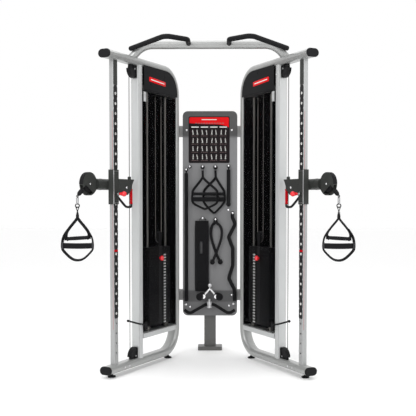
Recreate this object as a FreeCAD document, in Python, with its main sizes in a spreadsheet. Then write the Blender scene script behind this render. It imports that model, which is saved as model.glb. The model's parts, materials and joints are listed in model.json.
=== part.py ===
import FreeCAD, Part
import math
import os
import Sketcher

# Two-tower functional trainer.  World frame: +X to the right, +Y to the back, +Z up, millimetres.
# The origin is on the floor, under the middle of the machine's bounding box.
# Each tower also has a local frame: X runs from its front foot to the rear along the tower's plane,
# Z is up, and "inward" is the direction across the tower's plane that faces the user.

Vector = FreeCAD.Vector
Rotation = FreeCAD.Rotation
Placement = FreeCAD.Placement

SIDES = ("left", "right")
INWARD = {"left": -1, "right": 1}

SIZES = {
    # layout
    "tower_angle": (27.0, "angle between a tower's plane and the front-to-back direction, degrees"),
    "feet_half_span": (651.0, "half the distance between the two front feet"),
    "feet_line_y": (-408.3, "front feet, from the origin"),
    "foot_rear": (739.0, "rear foot, behind the front foot"),
    # frame hoop, one bent flat-oval tube
    "tube_width": (90.0, "flat-oval tube, across the tower"),
    "tube_depth": (54.0, "flat-oval tube, in the tower's plane"),
    "tube_wall": (3.0, "wall of the flat-oval tube"),
    "base_low": (26.0, "underside of the base tube"),
    "beam_high": (2180.0, "top of the top beam"),
    "hoop_front": (-62.0, "front end of the tube"),
    "hoop_rear": (855.0, "outer face of the rear upright"),
    "hoop_bend": (173.0, "centre-line radius of the two bends"),
    "cap_length": (14.0, "plastic end cap"),
    # slide column
    "column_front": (10.0, "front face of the slide column"),
    "column_depth": (48.0, "slide column, in the tower's plane"),
    "column_width": (35.0, "slide column, across the tower"),
    "column_wall": (3.0, "wall of the slide column"),
    "hole_pitch": (67.0, "distance between height positions"),
    "hole_low": (159.0, "lowest hole in the column"),
    "hole_count": (27, "holes in the column"),
    "hole_radius": (6.5, "pin hole in the column"),
    # second upright
    "upright_front": (294.0, "front face of the second upright"),
    "upright_depth": (53.0, "second upright, in the tower's plane"),
    "upright_width": (68.0, "second upright, across the tower"),
    # redirect wheels and cable
    "cable_radius": (2.4, "coated steel cable"),
    "redirect_tread": (55.0, "redirect wheel, radius at the cable's centre"),
    "redirect_along": (279.0, "redirect wheels' axle, behind the front foot"),
    "redirect_high": (2100.0, "top redirect wheel's axle"),
    "redirect_low": (96.0, "bottom redirect wheel's axle"),
    "stack_tread": (42.0, "fixed pulley in the beam over the stack, radius at the cable's centre"),
    "small_tread": (35.0, "hanging pulleys over the stack, radius at the cable's centre"),
    "small_high": (2020.0, "hanging pulleys' axles"),
    "floating_tread": (40.0, "floating pulley, radius at the cable's centre"),
    "wheel_width": (16.0, "pulley width"),
    "axle_radius": (6.0, "pulley axle"),
    "running_gap": (0.06, "radial clearance of a running fit"),
    "guard_outer": (62.0, "outer radius of the elbow-shaped pulley guard"),
    "guard_inner": (26.0, "inner radius of the pulley guard"),
    "guard_width": (36.0, "width of the pulley guard"),
    # stack
    "stack_centre": (577.0, "middle of the stack, behind the front foot"),
    "rod_spacing": (249.0, "distance between the guide rods"),
    "rod_radius": (9.5, "guide rod"),
    "rod_top": (1995.0, "upper end of the guide rods"),
    "rail_low": (210.0, "underside of the stack rail"),
    "rail_high": (250.0, "top of the stack rail"),
    "stack_low": (281.7, "underside of the bottom plate"),
    "plate_pitch": (21.6, "height of one weight plate with its gap"),
    "plate_gap": (0.4, "gap between two plates"),
    "plate_count": (24, "weight plates in a stack"),
    "plates_pinned": (2, "plates above the selector pin at rest"),
    "plate_length": (292.0, "weight plate, in the tower's plane"),
    "plate_width": (62.0, "weight plate, across the tower"),
    "head_height": (50.0, "head plate"),
    "stem_radius": (12.0, "selector stem"),
    "pin_hole": (5.5, "selector pin hole"),
    "floating_rise": (72.0, "floating pulley's axle above the head plate"),
    # shroud
    "sheet_offset": (36.0, "shroud sheet, from the tower's mid plane"),
    "sheet_thick": (3.0, "shroud sheet"),
    "shroud_high": (1963.0, "top of the shroud sheet, bottom of the top cover"),
    "cover_offset": (43.0, "top cover, from the tower's mid plane"),
    # carriage and arm
    "carriage_low": (1162.0, "lower end of the carriage sleeve"),
    "carriage_height": (232.0, "carriage sleeve"),
    "sleeve_gap": (0.5, "clearance between sleeve and column"),
    "sleeve_wall": (5.5, "wall of the carriage sleeve"),
    "pin_level": (1231.0, "pull pin"),
    "arm_level": (1295.0, "axis of the arm"),
    "arm_offset": (60.0, "axis of the arm, outward of the tower's mid plane"),
    "arm_radius": (37.0, "arm tube"),
    "spindle_radius": (26.0, "bore of the arm's socket"),
    "head_along": (-168.0, "axle of the arm's head wheel"),
    "head_radius": (75.0, "cover of the head wheel"),
    "head_width": (30.0, "both head covers together"),
    "head_tread": (50.0, "head wheel, radius at the cable's centre"),
    # handle
    "handle_along": (-292.0, "hanging handle, behind the front foot"),
    "hook_level": (1216.0, "eye that the snap hook hangs from"),
    "grip_level": (946.0, "hand grip"),
    "grip_length": (140.0, "hand grip"),
    "strap_level": (898.0, "padded strap"),
    "strap_length": (196.0, "padded strap"),
    # chin-up bar
    "chin_level": (2266.0, "axis of the chin-up bar"),
    "chin_radius": (29.0, "chin-up bar"),
    "chin_foot_x": (548.0, "foot of the chin-up bar on the beam"),
    "chin_from_feet": (252.0, "chin-up bar behind the front feet"),
    # back board
    "board_from_feet": (955.0, "front face of the board, behind the front feet"),
    "board_width": (429.0, "accessory board"),
    "board_low": (279.0, "lower edge of the board"),
    "board_high": (1891.0, "upper edge of the board"),
    "board_thick": (4.0, "accessory board"),
    "cross_high": (1733.0, "centre of the upper crossmember"),
    "cross_low": (444.0, "centre of the lower crossmember"),
    "cross_height": (86.0, "crossmember"),
    "cross_half": (292.0, "half the length of a crossmember"),
    "post_width": (92.0, "board post"),
    "foot_width": (192.0, "board foot"),
}

doc = FreeCAD.newDocument("functional_trainer")
sizes = doc.addObject("Spreadsheet::Sheet", "sizes")


def fill_sheet():
    for row, (alias, (number, meaning)) in enumerate(SIZES.items(), start=1):
        sizes.set("A%d" % row, meaning)
        sizes.set("B%d" % row, str(number))
        sizes.setAlias("B%d" % row, alias)
    doc.recompute()


def value(expression):
    found = sizes.evalExpression(str(expression))
    return float(getattr(found, "Value", found))


def size(alias):
    return value("sizes." + alias)


def bind(thing, **links):
    for name, expression in links.items():
        thing.setExpression(name, str(expression))
    return thing


# ---------------------------------------------------------------- places

def tower(side):
    """Local frame of a tower."""
    turn = 90.0 + INWARD[side] * size("tower_angle")
    corner = Vector(INWARD[side] * size("feet_half_span"), size("feet_line_y"), 0)
    return Placement(corner, Rotation(Vector(0, 0, 1), turn))


def at(side, along, inward, up, facing=None):
    """Place in a tower; facing turns a piece's own +Z to that direction of the tower."""
    ways = {
        "inward": Vector(0, INWARD[side], 0),
        "outward": Vector(0, -INWARD[side], 0),
        "forward": Vector(-1, 0, 0),
        "rearward": Vector(1, 0, 0),
    }
    turn = Rotation(Vector(0, 0, 1), ways[facing]) if facing else Rotation()
    return tower(side) * Placement(Vector(along, INWARD[side] * inward, up), turn)


# ---------------------------------------------------------------- documents' building blocks

def new_body(label):
    body = doc.addObject("PartDesign::Body", label)
    body.Label = label
    return body


def sketch_on(body, name, role, lift=None):
    sketch = body.newObject("Sketcher::SketchObject", name)
    plane = next(f for f in body.Origin.OriginFeatures if f.Role == role)
    sketch.AttachmentSupport = [(plane, "")]
    sketch.MapMode = "FlatFace"
    if lift is not None:
        bind(sketch, **{"AttachmentOffset.Base.z": lift})
    return sketch


def pin_vertex(sketch, edge, end, x, y):
    """Ties a vertex of an edge to two expressions."""
    for kind, expression in (("DistanceX", x), ("DistanceY", y)):
        rule = Sketcher.Constraint(kind, -1, 1, edge, end, value(expression))
        index = sketch.addConstraint(rule)
        bind(sketch, **{"Constraints[%d]" % index: expression})


def draw_polygon(sketch, corners):
    """Closed outline through corners, each a pair of expressions."""
    spots = [Vector(value(x), value(y), 0) for x, y in corners]
    first = sketch.GeometryCount
    count = len(spots)
    for i in range(count):
        sketch.addGeometry(Part.LineSegment(spots[i], spots[(i + 1) % count]), False)
    for i in range(count):
        after = first + (i + 1) % count
        sketch.addConstraint(Sketcher.Constraint("Coincident", first + i, 2, after, 1))
    for i, (x, y) in enumerate(corners):
        pin_vertex(sketch, first + i, 1, x, y)


def draw_rectangle(sketch, x0, y0, x1, y1):
    draw_polygon(sketch, [(x0, y0), (x1, y0), (x1, y1), (x0, y1)])


def draw_circle(sketch, x, y, radius):
    circle = Part.Circle(Vector(value(x), value(y), 0), Vector(0, 0, 1), value(radius))
    edge = sketch.addGeometry(circle, False)
    pin_vertex(sketch, edge, 3, x, y)
    index = sketch.addConstraint(Sketcher.Constraint("Radius", edge, value(radius)))
    bind(sketch, **{"Constraints[%d]" % index: radius})


def draw_flat_oval(sketch, half_straight, radius, level="0"):
    """Two parallel lines closed by two half circles, long way along the sketch's X."""
    reach, turn, height = value(half_straight), value(radius), value(level)
    low, high = height - turn, height + turn
    first = sketch.GeometryCount
    quarter = math.pi / 2
    normal = Vector(0, 0, 1)
    right = Part.ArcOfCircle(Part.Circle(Vector(reach, height, 0), normal, turn), -quarter, quarter)
    left = Part.ArcOfCircle(Part.Circle(Vector(-reach, height, 0), normal, turn), quarter, 3 * quarter)
    sketch.addGeometry(Part.LineSegment(Vector(-reach, low, 0), Vector(reach, low, 0)), False)
    sketch.addGeometry(right, False)
    sketch.addGeometry(Part.LineSegment(Vector(reach, high, 0), Vector(-reach, high, 0)), False)
    sketch.addGeometry(left, False)
    for i in range(4):
        after = first + (i + 1) % 4
        sketch.addConstraint(Sketcher.Constraint("Coincident", first + i, 2, after, 1))
    pin_vertex(sketch, first, 1, "-(%s)" % half_straight, "%s - (%s)" % (level, radius))
    pin_vertex(sketch, first, 2, half_straight, "%s - (%s)" % (level, radius))
    pin_vertex(sketch, first + 2, 1, half_straight, "%s + (%s)" % (level, radius))
    pin_vertex(sketch, first + 2, 2, "-(%s)" % half_straight, "%s + (%s)" % (level, radius))
    for arc, centre in ((first + 1, half_straight), (first + 3, "-(%s)" % half_straight)):
        rule = Sketcher.Constraint("DistanceX", -1, 1, arc, 3, value(centre))
        index = sketch.addConstraint(rule)
        bind(sketch, **{"Constraints[%d]" % index: centre})


def pad(body, sketch, length, symmetric=False):
    feature = body.newObject("PartDesign::Pad", "pad")
    feature.Profile = sketch
    feature.Midplane = symmetric
    bind(feature, Length=length)
    return feature


def pocket(body, sketch, length, symmetric=True, reverse=False):
    doc.recompute()
    before = body.Shape.Volume
    feature = body.newObject("PartDesign::Pocket", "pocket")
    feature.Profile = sketch
    feature.Midplane = symmetric
    feature.Reversed = reverse
    bind(feature, Length=length)
    doc.recompute()
    if body.Shape.Volume >= before:
        raise RuntimeError("a pocket of %s cuts nothing" % body.Label)
    return feature


def turned(label, profile, angle=360.0):
    """Solid of revolution about its own Z axis; profile is a list of (radius, height) expressions."""
    body = new_body(label)
    sketch = sketch_on(body, label + "_profile", "XZ_Plane")
    draw_polygon(sketch, profile)
    feature = body.newObject("PartDesign::Revolution", "turn")
    feature.Profile = sketch
    feature.ReferenceAxis = (sketch, ["V_Axis"])
    feature.Angle = angle
    return body


def fillet_edges(body, feature, chosen, radius):
    """Rounds the edges of a body's shape that the test picks."""
    doc.recompute()
    names = ["Edge%d" % (i + 1) for i, edge in enumerate(feature.Shape.Edges) if chosen(edge)]
    rounding = body.newObject("PartDesign::Fillet", "rounding")
    rounding.Base = (feature, names)
    bind(rounding, Radius=radius)
    return rounding


def upright_edge(edge):
    ends = [vertex.Point for vertex in edge.Vertexes]
    return len(ends) == 2 and abs(ends[0].x - ends[1].x) < 1e-6 and abs(ends[0].y - ends[1].y) < 1e-6


def box(label, length, width, height, place):
    solid = doc.addObject("Part::Box", label)
    solid.Label = label
    bind(solid, Length=length, Width=width, Height=height)
    solid.Placement = place * Placement(Vector(0, -value(width) / 2, 0), Rotation())
    return solid


def rod(label, radius, height, place):
    solid = doc.addObject("Part::Cylinder", label)
    solid.Label = label
    bind(solid, Radius=radius, Height=height)
    solid.Placement = place
    return solid


def group(label, pieces):
    """Separate solids that share one node."""
    bundle = doc.addObject("Part::Compound", label)
    bundle.Label = label
    bundle.Links = pieces
    return bundle


def joined(label, pieces):
    whole = doc.addObject("Part::MultiFuse", label)
    whole.Label = label
    whole.Shapes = pieces
    return whole


def cut(label, base, tool):
    rest = doc.addObject("Part::Cut", label)
    rest.Label = label
    rest.Base = base
    rest.Tool = tool
    return rest


def solid_of(label, shape, place=None):
    feature = doc.addObject("Part::Feature", label)
    feature.Label = label
    feature.Shape = shape
    if place is not None:
        feature.Placement = place
    return feature


# ---------------------------------------------------------------- swept shapes

def bent_wire(points, bend):
    """Straight runs through points, joined by tangent arcs of the bend radius or as large as fits."""
    points = [Vector(*p) for p in points]
    edges = []
    start = points[0]
    for before, corner, after in zip(points, points[1:], points[2:]):
        back = (before - corner).normalize()
        ahead = (after - corner).normalize()
        half = (math.pi - back.getAngle(ahead)) / 2
        room = 0.48 * min((before - corner).Length, (after - corner).Length)
        trim = min(bend * math.tan(half), room)
        radius = trim / math.tan(half)
        first, last = corner + back * trim, corner + ahead * trim
        middle = (back + ahead).normalize()
        centre = corner + middle * (radius / math.cos(half))
        edges.append(Part.LineSegment(start, first).toShape())
        edges.append(Part.Arc(first, centre - middle * radius, last).toShape())
        start = last
    edges.append(Part.LineSegment(start, points[-1]).toShape())
    return Part.Wire(edges)


def tube_along(wire, radius):
    """Round bar along a wire."""
    start = wire.OrderedVertexes[0].Point
    heading = wire.OrderedEdges[0].tangentAt(wire.OrderedEdges[0].FirstParameter)
    ring = Part.Wire(Part.Circle(start, heading, radius).toShape())
    return wire.makePipeShell([ring], True, False)


def strap_along(wire, width, thickness, flat):
    """Flat band along a wire; flat is the direction of its width."""
    start = wire.OrderedVertexes[0].Point
    heading = wire.OrderedEdges[0].tangentAt(wire.OrderedEdges[0].FirstParameter)
    across = Vector(flat).normalize() * (width / 2)
    through = heading.cross(Vector(flat)).normalize() * (thickness / 2)
    corners = [start - across - through, start + across - through,
               start + across + through, start - across + through]
    ring = Part.makePolygon(corners + corners[:1])
    return wire.makePipeShell([ring], True, False)


def plate_from(corners, thickness, direction):
    """Flat plate: an outline of 3-D corners pushed along a direction."""
    loop = Part.makePolygon([Vector(*c) for c in corners] + [Vector(*corners[0])])
    return Part.Face(loop).extrude(Vector(direction).normalize() * thickness)


# ---------------------------------------------------------------- frame

BEAM_LEVEL = "sizes.beam_high - sizes.tube_depth / 2"
BASE_LEVEL = "sizes.base_low + sizes.tube_depth / 2"
REAR_LINE = "sizes.hoop_rear - sizes.tube_depth / 2"
OVAL_STRAIGHT = "(sizes.tube_width - sizes.tube_depth) / 2"
PULLEY_HIGH = "sizes.redirect_high + sizes.redirect_tread - sizes.stack_tread"
REAR_PULLEY = "sizes.stack_centre + 30 + sizes.floating_tread - sizes.stack_tread"
MIDDLE_PULLEY = "sizes.stack_centre + 30 - sizes.floating_tread - sizes.small_tread"
FRONT_PULLEY = "sizes.redirect_along + sizes.redirect_tread + sizes.small_tread"


def draw_hoop_route(sketch):
    """Base forward-to-back, rear bend, rear upright, top bend, top beam back-to-forward."""
    turn_start = "%s - sizes.hoop_bend" % REAR_LINE
    low_turn = "%s + sizes.hoop_bend" % BASE_LEVEL
    high_turn = "%s - sizes.hoop_bend" % BEAM_LEVEL
    spots = [("sizes.hoop_front", BASE_LEVEL), (turn_start, BASE_LEVEL), (REAR_LINE, low_turn),
             (REAR_LINE, high_turn), (turn_start, BEAM_LEVEL), ("sizes.hoop_front", BEAM_LEVEL)]
    p = [Vector(value(x), value(y), 0) for x, y in spots]
    bend = size("hoop_bend")
    quarter = math.pi / 2
    up = Vector(0, 0, 1)
    low_arc = Part.ArcOfCircle(Part.Circle(Vector(p[1].x, p[2].y, 0), up, bend), -quarter, 0)
    high_arc = Part.ArcOfCircle(Part.Circle(Vector(p[1].x, p[3].y, 0), up, bend), 0, quarter)
    for piece in (Part.LineSegment(p[0], p[1]), low_arc, Part.LineSegment(p[2], p[3]),
                  high_arc, Part.LineSegment(p[4], p[5])):
        sketch.addGeometry(piece, False)
    for i in range(4):
        sketch.addConstraint(Sketcher.Constraint("Coincident", i, 2, i + 1, 1))
    for edge, end, (x, y) in zip((0, 0, 2, 2, 4, 4), (1, 2, 1, 2, 1, 2), spots):
        pin_vertex(sketch, edge, end, x, y)
    for arc in (1, 3):
        index = sketch.addConstraint(Sketcher.Constraint("Radius", arc, bend))
        bind(sketch, **{"Constraints[%d]" % index: "sizes.hoop_bend"})


def frame_hoop(side):
    """Flat-oval tube bent into a hoop open at the front, slotted where pulleys sit in it."""
    label = side + "_frame_hoop"
    body = new_body(label)
    section = sketch_on(body, label + "_section", "YZ_Plane", lift="sizes.hoop_front")
    draw_flat_oval(section, OVAL_STRAIGHT, "sizes.tube_depth / 2", BASE_LEVEL)
    draw_flat_oval(section, OVAL_STRAIGHT, "sizes.tube_depth / 2 - sizes.tube_wall", BASE_LEVEL)
    route = sketch_on(body, label + "_route", "XZ_Plane")
    draw_hoop_route(route)
    sweep = body.newObject("PartDesign::AdditivePipe", "sweep")
    sweep.Profile = section
    sweep.Spine = route
    slots = sketch_on(body, label + "_slots", "XZ_Plane")
    for level in ("sizes.redirect_high", "sizes.redirect_low"):
        draw_circle(slots, "sizes.redirect_along", level, "sizes.guard_outer")
    draw_circle(slots, REAR_PULLEY, PULLEY_HIGH, "sizes.stack_tread + 5")
    pocket(body, slots, "sizes.wheel_width + 8")
    body.Placement = tower(side)
    return body


def straight_tube(label, front, depth, width, corner):
    """Hollow upright between base and beam, its ends coped round the flat-oval tube."""
    body = new_body(label)
    plan = sketch_on(body, label + "_plan", "XY_Plane", lift=BASE_LEVEL)
    draw_rectangle(plan, front, "-%s / 2" % width, "%s + %s" % (front, depth), "%s / 2" % width)
    post = pad(body, plan, "sizes.beam_high - sizes.base_low - sizes.tube_depth")
    fillet_edges(body, post, upright_edge, corner)
    bore = sketch_on(body, label + "_bore", "XY_Plane", lift=BASE_LEVEL)
    wall = "sizes.tube_wall"
    draw_rectangle(bore, "%s + %s" % (front, wall), "-%s / 2 + %s" % (width, wall),
                   "%s + %s - %s" % (front, depth, wall), "%s / 2 - %s" % (width, wall))
    pocket(body, bore, "sizes.beam_high", symmetric=False, reverse=True)
    cope = sketch_on(body, label + "_cope", "YZ_Plane")
    for level in (BASE_LEVEL, BEAM_LEVEL):
        draw_flat_oval(cope, OVAL_STRAIGHT, "sizes.tube_depth / 2", level)
    pocket(body, cope, "4 * (%s + %s)" % (front, depth))
    return body


def upright(side):
    label = side + "_upright_tube"
    body = straight_tube(label, "sizes.upright_front", "sizes.upright_depth",
                         "sizes.upright_width", "12")
    slots = sketch_on(body, label + "_slots", "XZ_Plane")
    for level in ("sizes.redirect_high", "sizes.redirect_low"):
        draw_circle(slots, "sizes.redirect_along", level, "sizes.guard_outer + 1")
    pocket(body, slots, "sizes.guard_width + 2")
    rear = sketch_on(body, label + "_rear_slot", "XZ_Plane")
    draw_circle(rear, FRONT_PULLEY, "sizes.small_high", "sizes.small_tread + 5")
    pocket(body, rear, "sizes.wheel_width + 8")
    body.Placement = tower(side)
    return body


def slide_column(side):
    """Rectangular tube with a row of pin holes in the wall that faces the user."""
    label = side + "_column_tube"
    body = straight_tube(label, "sizes.column_front", "sizes.column_depth",
                         "sizes.column_width", "5")
    holes = sketch_on(body, label + "_holes", "XZ_Plane")
    draw_circle(holes, "sizes.column_front + sizes.column_depth / 2", "sizes.hole_low",
                "sizes.hole_radius")
    first = pocket(body, holes, "sizes.column_width", symmetric=False,
                   reverse=(side == "left"))
    row = body.newObject("PartDesign::LinearPattern", "row")
    row.Originals = [first]
    row.Direction = (holes, ["V_Axis"])
    row.Occurrences = int(size("hole_count"))
    bind(row, Length="sizes.hole_pitch * (sizes.hole_count - 1)")
    body.Tip = row
    body.Placement = tower(side)
    return body


def end_cap(side, level):
    """Domed plastic cap over an open tube end, with a spigot inside the tube."""
    name = side + "_cap"
    body = new_body(name)
    plug = sketch_on(body, name + "_plug", "YZ_Plane")
    draw_flat_oval(plug, OVAL_STRAIGHT, "sizes.tube_depth / 2 - sizes.tube_wall - 0.2")
    pad(body, plug, "18")
    lid = sketch_on(body, name + "_lid", "YZ_Plane", lift="-sizes.cap_length")
    draw_flat_oval(lid, OVAL_STRAIGHT, "sizes.tube_depth / 2 + 1.5")
    cap = pad(body, lid, "sizes.cap_length")
    fillet_edges(body, cap, lambda edge: edge.BoundBox.XMax < -size("cap_length") + 0.01, "9")
    body.Placement = at(side, size("hoop_front"), 0, value(level))
    return body


def levelling_foot(name, place, stem_top):
    """Rubber pad, threaded stem and lock nut, as one turned piece."""
    foot = turned(name, [("0", "0"), ("25", "0"), ("27.5", "3"), ("27", "8"), ("12", "14"),
                         ("11", "17"), ("6", "17"), ("6", stem_top), ("0", stem_top)])
    foot.Placement = place
    return foot


def foot_shape(side):
    front = at(side, 0, 0, 0)
    rear = at(side, size("foot_rear"), 0, 0)
    base_gap = "sizes.base_low"
    rear_rise = size("hoop_bend") + size("tube_depth") / 2
    overhang = size("foot_rear") - (value(REAR_LINE) - size("hoop_bend"))
    lift = rear_rise - math.sqrt(rear_rise ** 2 - overhang ** 2)
    return [levelling_foot(side + "_front_foot", front, base_gap),
            levelling_foot(side + "_rear_foot", rear, "sizes.base_low + %.3f" % (lift - 2.7))]


def pulley_guard(side, level, upward):
    """Quarter of a hollow ring with a U-shaped section, over the front quarter of a wheel."""
    name = side + "_guard"
    half, outer, inner = size("guard_width") / 2, size("guard_outer"), size("guard_inner")
    skin = 2.5
    u_section = [(inner, -half), (outer, -half), (outer, half), (inner, half), (inner, half - skin),
                 (outer - skin, half - skin), (outer - skin, skin - half), (inner, skin - half)]
    ring = Part.makePolygon([Vector(r, 0, y) for r, y in u_section + u_section[:1]])
    quarter = Part.Face(ring).revolve(Vector(0, 0, 0), Vector(0, 0, 1), 90)
    cable = Part.makeCylinder(size("cable_radius") + 2, 75, Vector(size("redirect_tread"), -30, 0),
                              Vector(0, 1, 0))
    quarter = quarter.cut(cable)
    # the quarter runs from +X to +Y of its own plane; turned so that it starts at the front
    heading = Vector(-1, 0, 0)
    sideways = Vector(0, 0, 1 if upward else -1)
    frame = Rotation(heading, sideways, heading.cross(sideways), "XYZ")
    place = at(side, size("redirect_along"), 0, value(level)) * Placement(Vector(), frame)
    return solid_of(name, quarter, place)


def bolt(name, place, length="8", radius="9"):
    """Domed bolt head that stands on its own Z = 0."""
    head = turned(name, [("0", "0"), (radius, "0"), (radius, "%s * 0.5" % length),
                         ("%s * 0.6" % radius, length), ("0", length)])
    head.Placement = place
    return head


# ---------------------------------------------------------------- pulleys and cables

OVERHEAD = [(REAR_PULLEY, PULLEY_HIGH, "sizes.stack_tread"),
            (MIDDLE_PULLEY, "sizes.small_high", "sizes.small_tread"),
            (FRONT_PULLEY, "sizes.small_high", "sizes.small_tread")]


def grooved_wheel(name, tread, place):
    """Pulley with a groove in its rim and a bore for the axle."""
    half = "sizes.wheel_width / 2"
    bottom = "%s - sizes.cable_radius - 0.3" % tread
    rim = "%s + 3" % tread
    bore = "sizes.axle_radius + sizes.running_gap"
    wheel = turned(name, [(bore, "-%s" % half), (rim, "-%s" % half), (rim, "1.5 - %s" % half),
                          (bottom, "-3"), (bottom, "3"), (rim, "%s - 1.5" % half),
                          (rim, half), (bore, half)])
    wheel.Placement = place
    return wheel


def redirect_wheel(side, name, level):
    place = at(side, size("redirect_along"), 0, value(level), "inward")
    return grooved_wheel(side + name, "sizes.redirect_tread", place)


def stack_pulleys(side):
    """One pulley set into the beam over the stack and two that hang below the beam."""
    wheels = []
    for i, (along, level, tread) in enumerate(OVERHEAD):
        place = at(side, value(along), 0, value(level), "inward")
        wheels.append(grooved_wheel("%s_stack_pulley_%d" % (side, i), tread, place))
    return wheels


def axle(side, name, along, level, half_length):
    place = at(side, value(along), -half_length, value(level), "inward")
    return rod(side + name, "sizes.axle_radius", str(2 * half_length), place)


def frame_fasteners(side):
    """Axles across the tubes, with bolt heads on the side that faces the user."""
    pieces = []
    tube_half, upright_half = size("tube_width") / 2, size("upright_width") / 2
    spots = [("sizes.redirect_along", "sizes.redirect_high"),
             ("sizes.redirect_along", "sizes.redirect_low")] + [spot[:2] for spot in OVERHEAD]
    for i, (along, level) in enumerate(spots):
        pieces.append(axle(side, "_axle_%d" % i, along, level, 14))
    for i, along in enumerate((95, 150)):
        place = at(side, along, tube_half, value(BASE_LEVEL), "inward")
        pieces.append(bolt("%s_base_bolt_%d" % (side, i), place, "5", "7"))
    for i, level in enumerate((2065, 130)):
        place = at(side, 330, upright_half, level, "inward")
        pieces.append(bolt("%s_upright_bolt_%d" % (side, i), place, "5", "6"))
    return pieces


def cable_route():
    """Over the stack, through the beam, down past the carriage and back up inside the upright."""
    tread, stack_tread, small = size("redirect_tread"), size("stack_tread"), size("small_tread")
    wheel, high, low = size("redirect_along"), size("redirect_high"), size("redirect_low")
    over, hanging = value(PULLEY_HIGH), size("small_high")
    rear, middle, front = value(REAR_PULLEY), value(MIDDLE_PULLEY), value(FRONT_PULLEY)

    def quarter(x, z, radius, first, last):
        """Quarter circle about an axle between two of its four compass points."""
        compass = {"back": (1, 0), "front": (-1, 0), "top": (0, 1), "bottom": (0, -1)}
        ways = [Vector(compass[name][0], 0, compass[name][1]) for name in (first, last)]
        centre = Vector(x, 0, z)
        ends = [centre + way * radius for way in ways]
        via = centre + (ways[0] + ways[1]).normalize() * radius
        return Part.Arc(ends[0], via, ends[1]).toShape(), ends

    turns = [quarter(rear, over, stack_tread, "back", "top"),
             quarter(wheel, high, tread, "top", "front"),
             quarter(wheel, low, tread, "front", "bottom"),
             quarter(wheel, low, tread, "bottom", "back"),
             quarter(front, hanging, small, "front", "top"),
             quarter(middle, hanging, small, "top", "back")]
    start = Vector(rear + stack_tread, 0, hanging)
    edges = []
    for edge, (first, last) in turns:
        if (first - start).Length > 0.01:
            edges.append(Part.LineSegment(start, first).toShape())
        edges.append(edge)
        start = last
    return Part.Wire(edges)


def main_cable(side):
    shape = tube_along(cable_route(), size("cable_radius"))
    return solid_of(side + "_main_cable", shape, tower(side))


# ---------------------------------------------------------------- weight stack and shroud

def plate_column(side, name, first, count):
    """Weight plates with rod, stem and pin holes, numbered from the bottom."""
    plates = []
    for i in range(first, first + count):
        label = "%s_%s_%d" % (side, name, i)
        body = new_body(label)
        plan = sketch_on(body, label + "_plan", "XY_Plane")
        draw_rectangle(plan, "-sizes.plate_length / 2", "-sizes.plate_width / 2",
                       "sizes.plate_length / 2", "sizes.plate_width / 2")
        for spot in ("-sizes.rod_spacing / 2", "sizes.rod_spacing / 2"):
            draw_circle(plan, spot, "0", "sizes.rod_radius + 1")
        draw_circle(plan, "0", "0", "sizes.stem_radius + 1")
        pad(body, plan, "sizes.plate_pitch - sizes.plate_gap")
        pin = sketch_on(body, label + "_pin", "XZ_Plane")
        draw_circle(pin, "0", "sizes.plate_pitch / 2", "sizes.pin_hole")
        pocket(body, pin, "sizes.plate_width + 2")
        level = size("stack_low") + i * size("plate_pitch")
        body.Placement = at(side, size("stack_centre"), 0, level)
        plates.append(body)
    return plates


def stack_top():
    return size("stack_low") + size("plate_count") * size("plate_pitch")


def pinned_level():
    """Height of the selector pin: the middle of the lowest lifted plate."""
    below = size("plate_count") - size("plates_pinned")
    return size("stack_low") + below * size("plate_pitch") + size("plate_pitch") / 2


def head_plate(side):
    """Head plate, selector stem and the clevis that carries the floating pulley, welded together."""
    top, low = stack_top(), size("stack_low")
    half_length, half_width = size("plate_length") / 2, size("plate_width") / 2
    head = Part.makeBox(2 * half_length, 2 * half_width, size("head_height"),
                        Vector(-half_length, -half_width, top))
    stem = Part.makeCylinder(size("stem_radius"), top - low - 4, Vector(0, 0, low + 4))
    clevis_height = size("floating_rise") + 16
    cheeks = [Part.makeBox(40, 4, clevis_height, Vector(10, y, top + size("head_height")))
              for y in (-14, 10)]
    axle_level = top + size("head_height") + size("floating_rise")
    pivot = Part.makeCylinder(size("axle_radius"), 28, Vector(30, -14, axle_level), Vector(0, 1, 0))
    whole = head.fuse([stem, pivot] + cheeks)
    holes = [Part.makeCylinder(size("rod_radius") + 1, 80, Vector(x, 0, top - 5))
             for x in (-size("rod_spacing") / 2, size("rod_spacing") / 2)]
    for i in range(int(size("plate_count"))):
        level = low + (i + 0.5) * size("plate_pitch")
        holes.append(Part.makeCylinder(size("pin_hole"), 30, Vector(0, -15, level), Vector(0, 1, 0)))
    whole = whole.cut(holes).removeSplitter()
    return solid_of(side + "_head_plate", whole, at(side, size("stack_centre"), 0, 0))


def selector_pin(side):
    """Pin through a plate and the stem, with a round red knob."""
    start = size("plate_width") / 2 - 5
    pin = turned(side + "_selector_pin", [
        ("0", "-45"), ("4.5", "-45"), ("4.5", "5"), ("9", "5"), ("9", "17"), ("19", "19"),
        ("19", "27"), ("15", "31"), ("0", "31")])
    pin.Placement = at(side, size("stack_centre"), start, pinned_level(), "inward")
    return pin


def stack_cable(side):
    """The two runs between the fixed pulleys and the floating pulley."""
    low = stack_top() + size("head_height") + size("floating_rise")
    height = size("small_high") - low
    middle = size("stack_centre") + 30
    runs = [rod("%s_stack_run_%d" % (side, i), "sizes.cable_radius", str(height),
                at(side, middle + way * size("floating_tread"), 0, low))
            for i, way in enumerate((-1, 1))]
    return group(side + "_stack_cable", runs)


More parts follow.
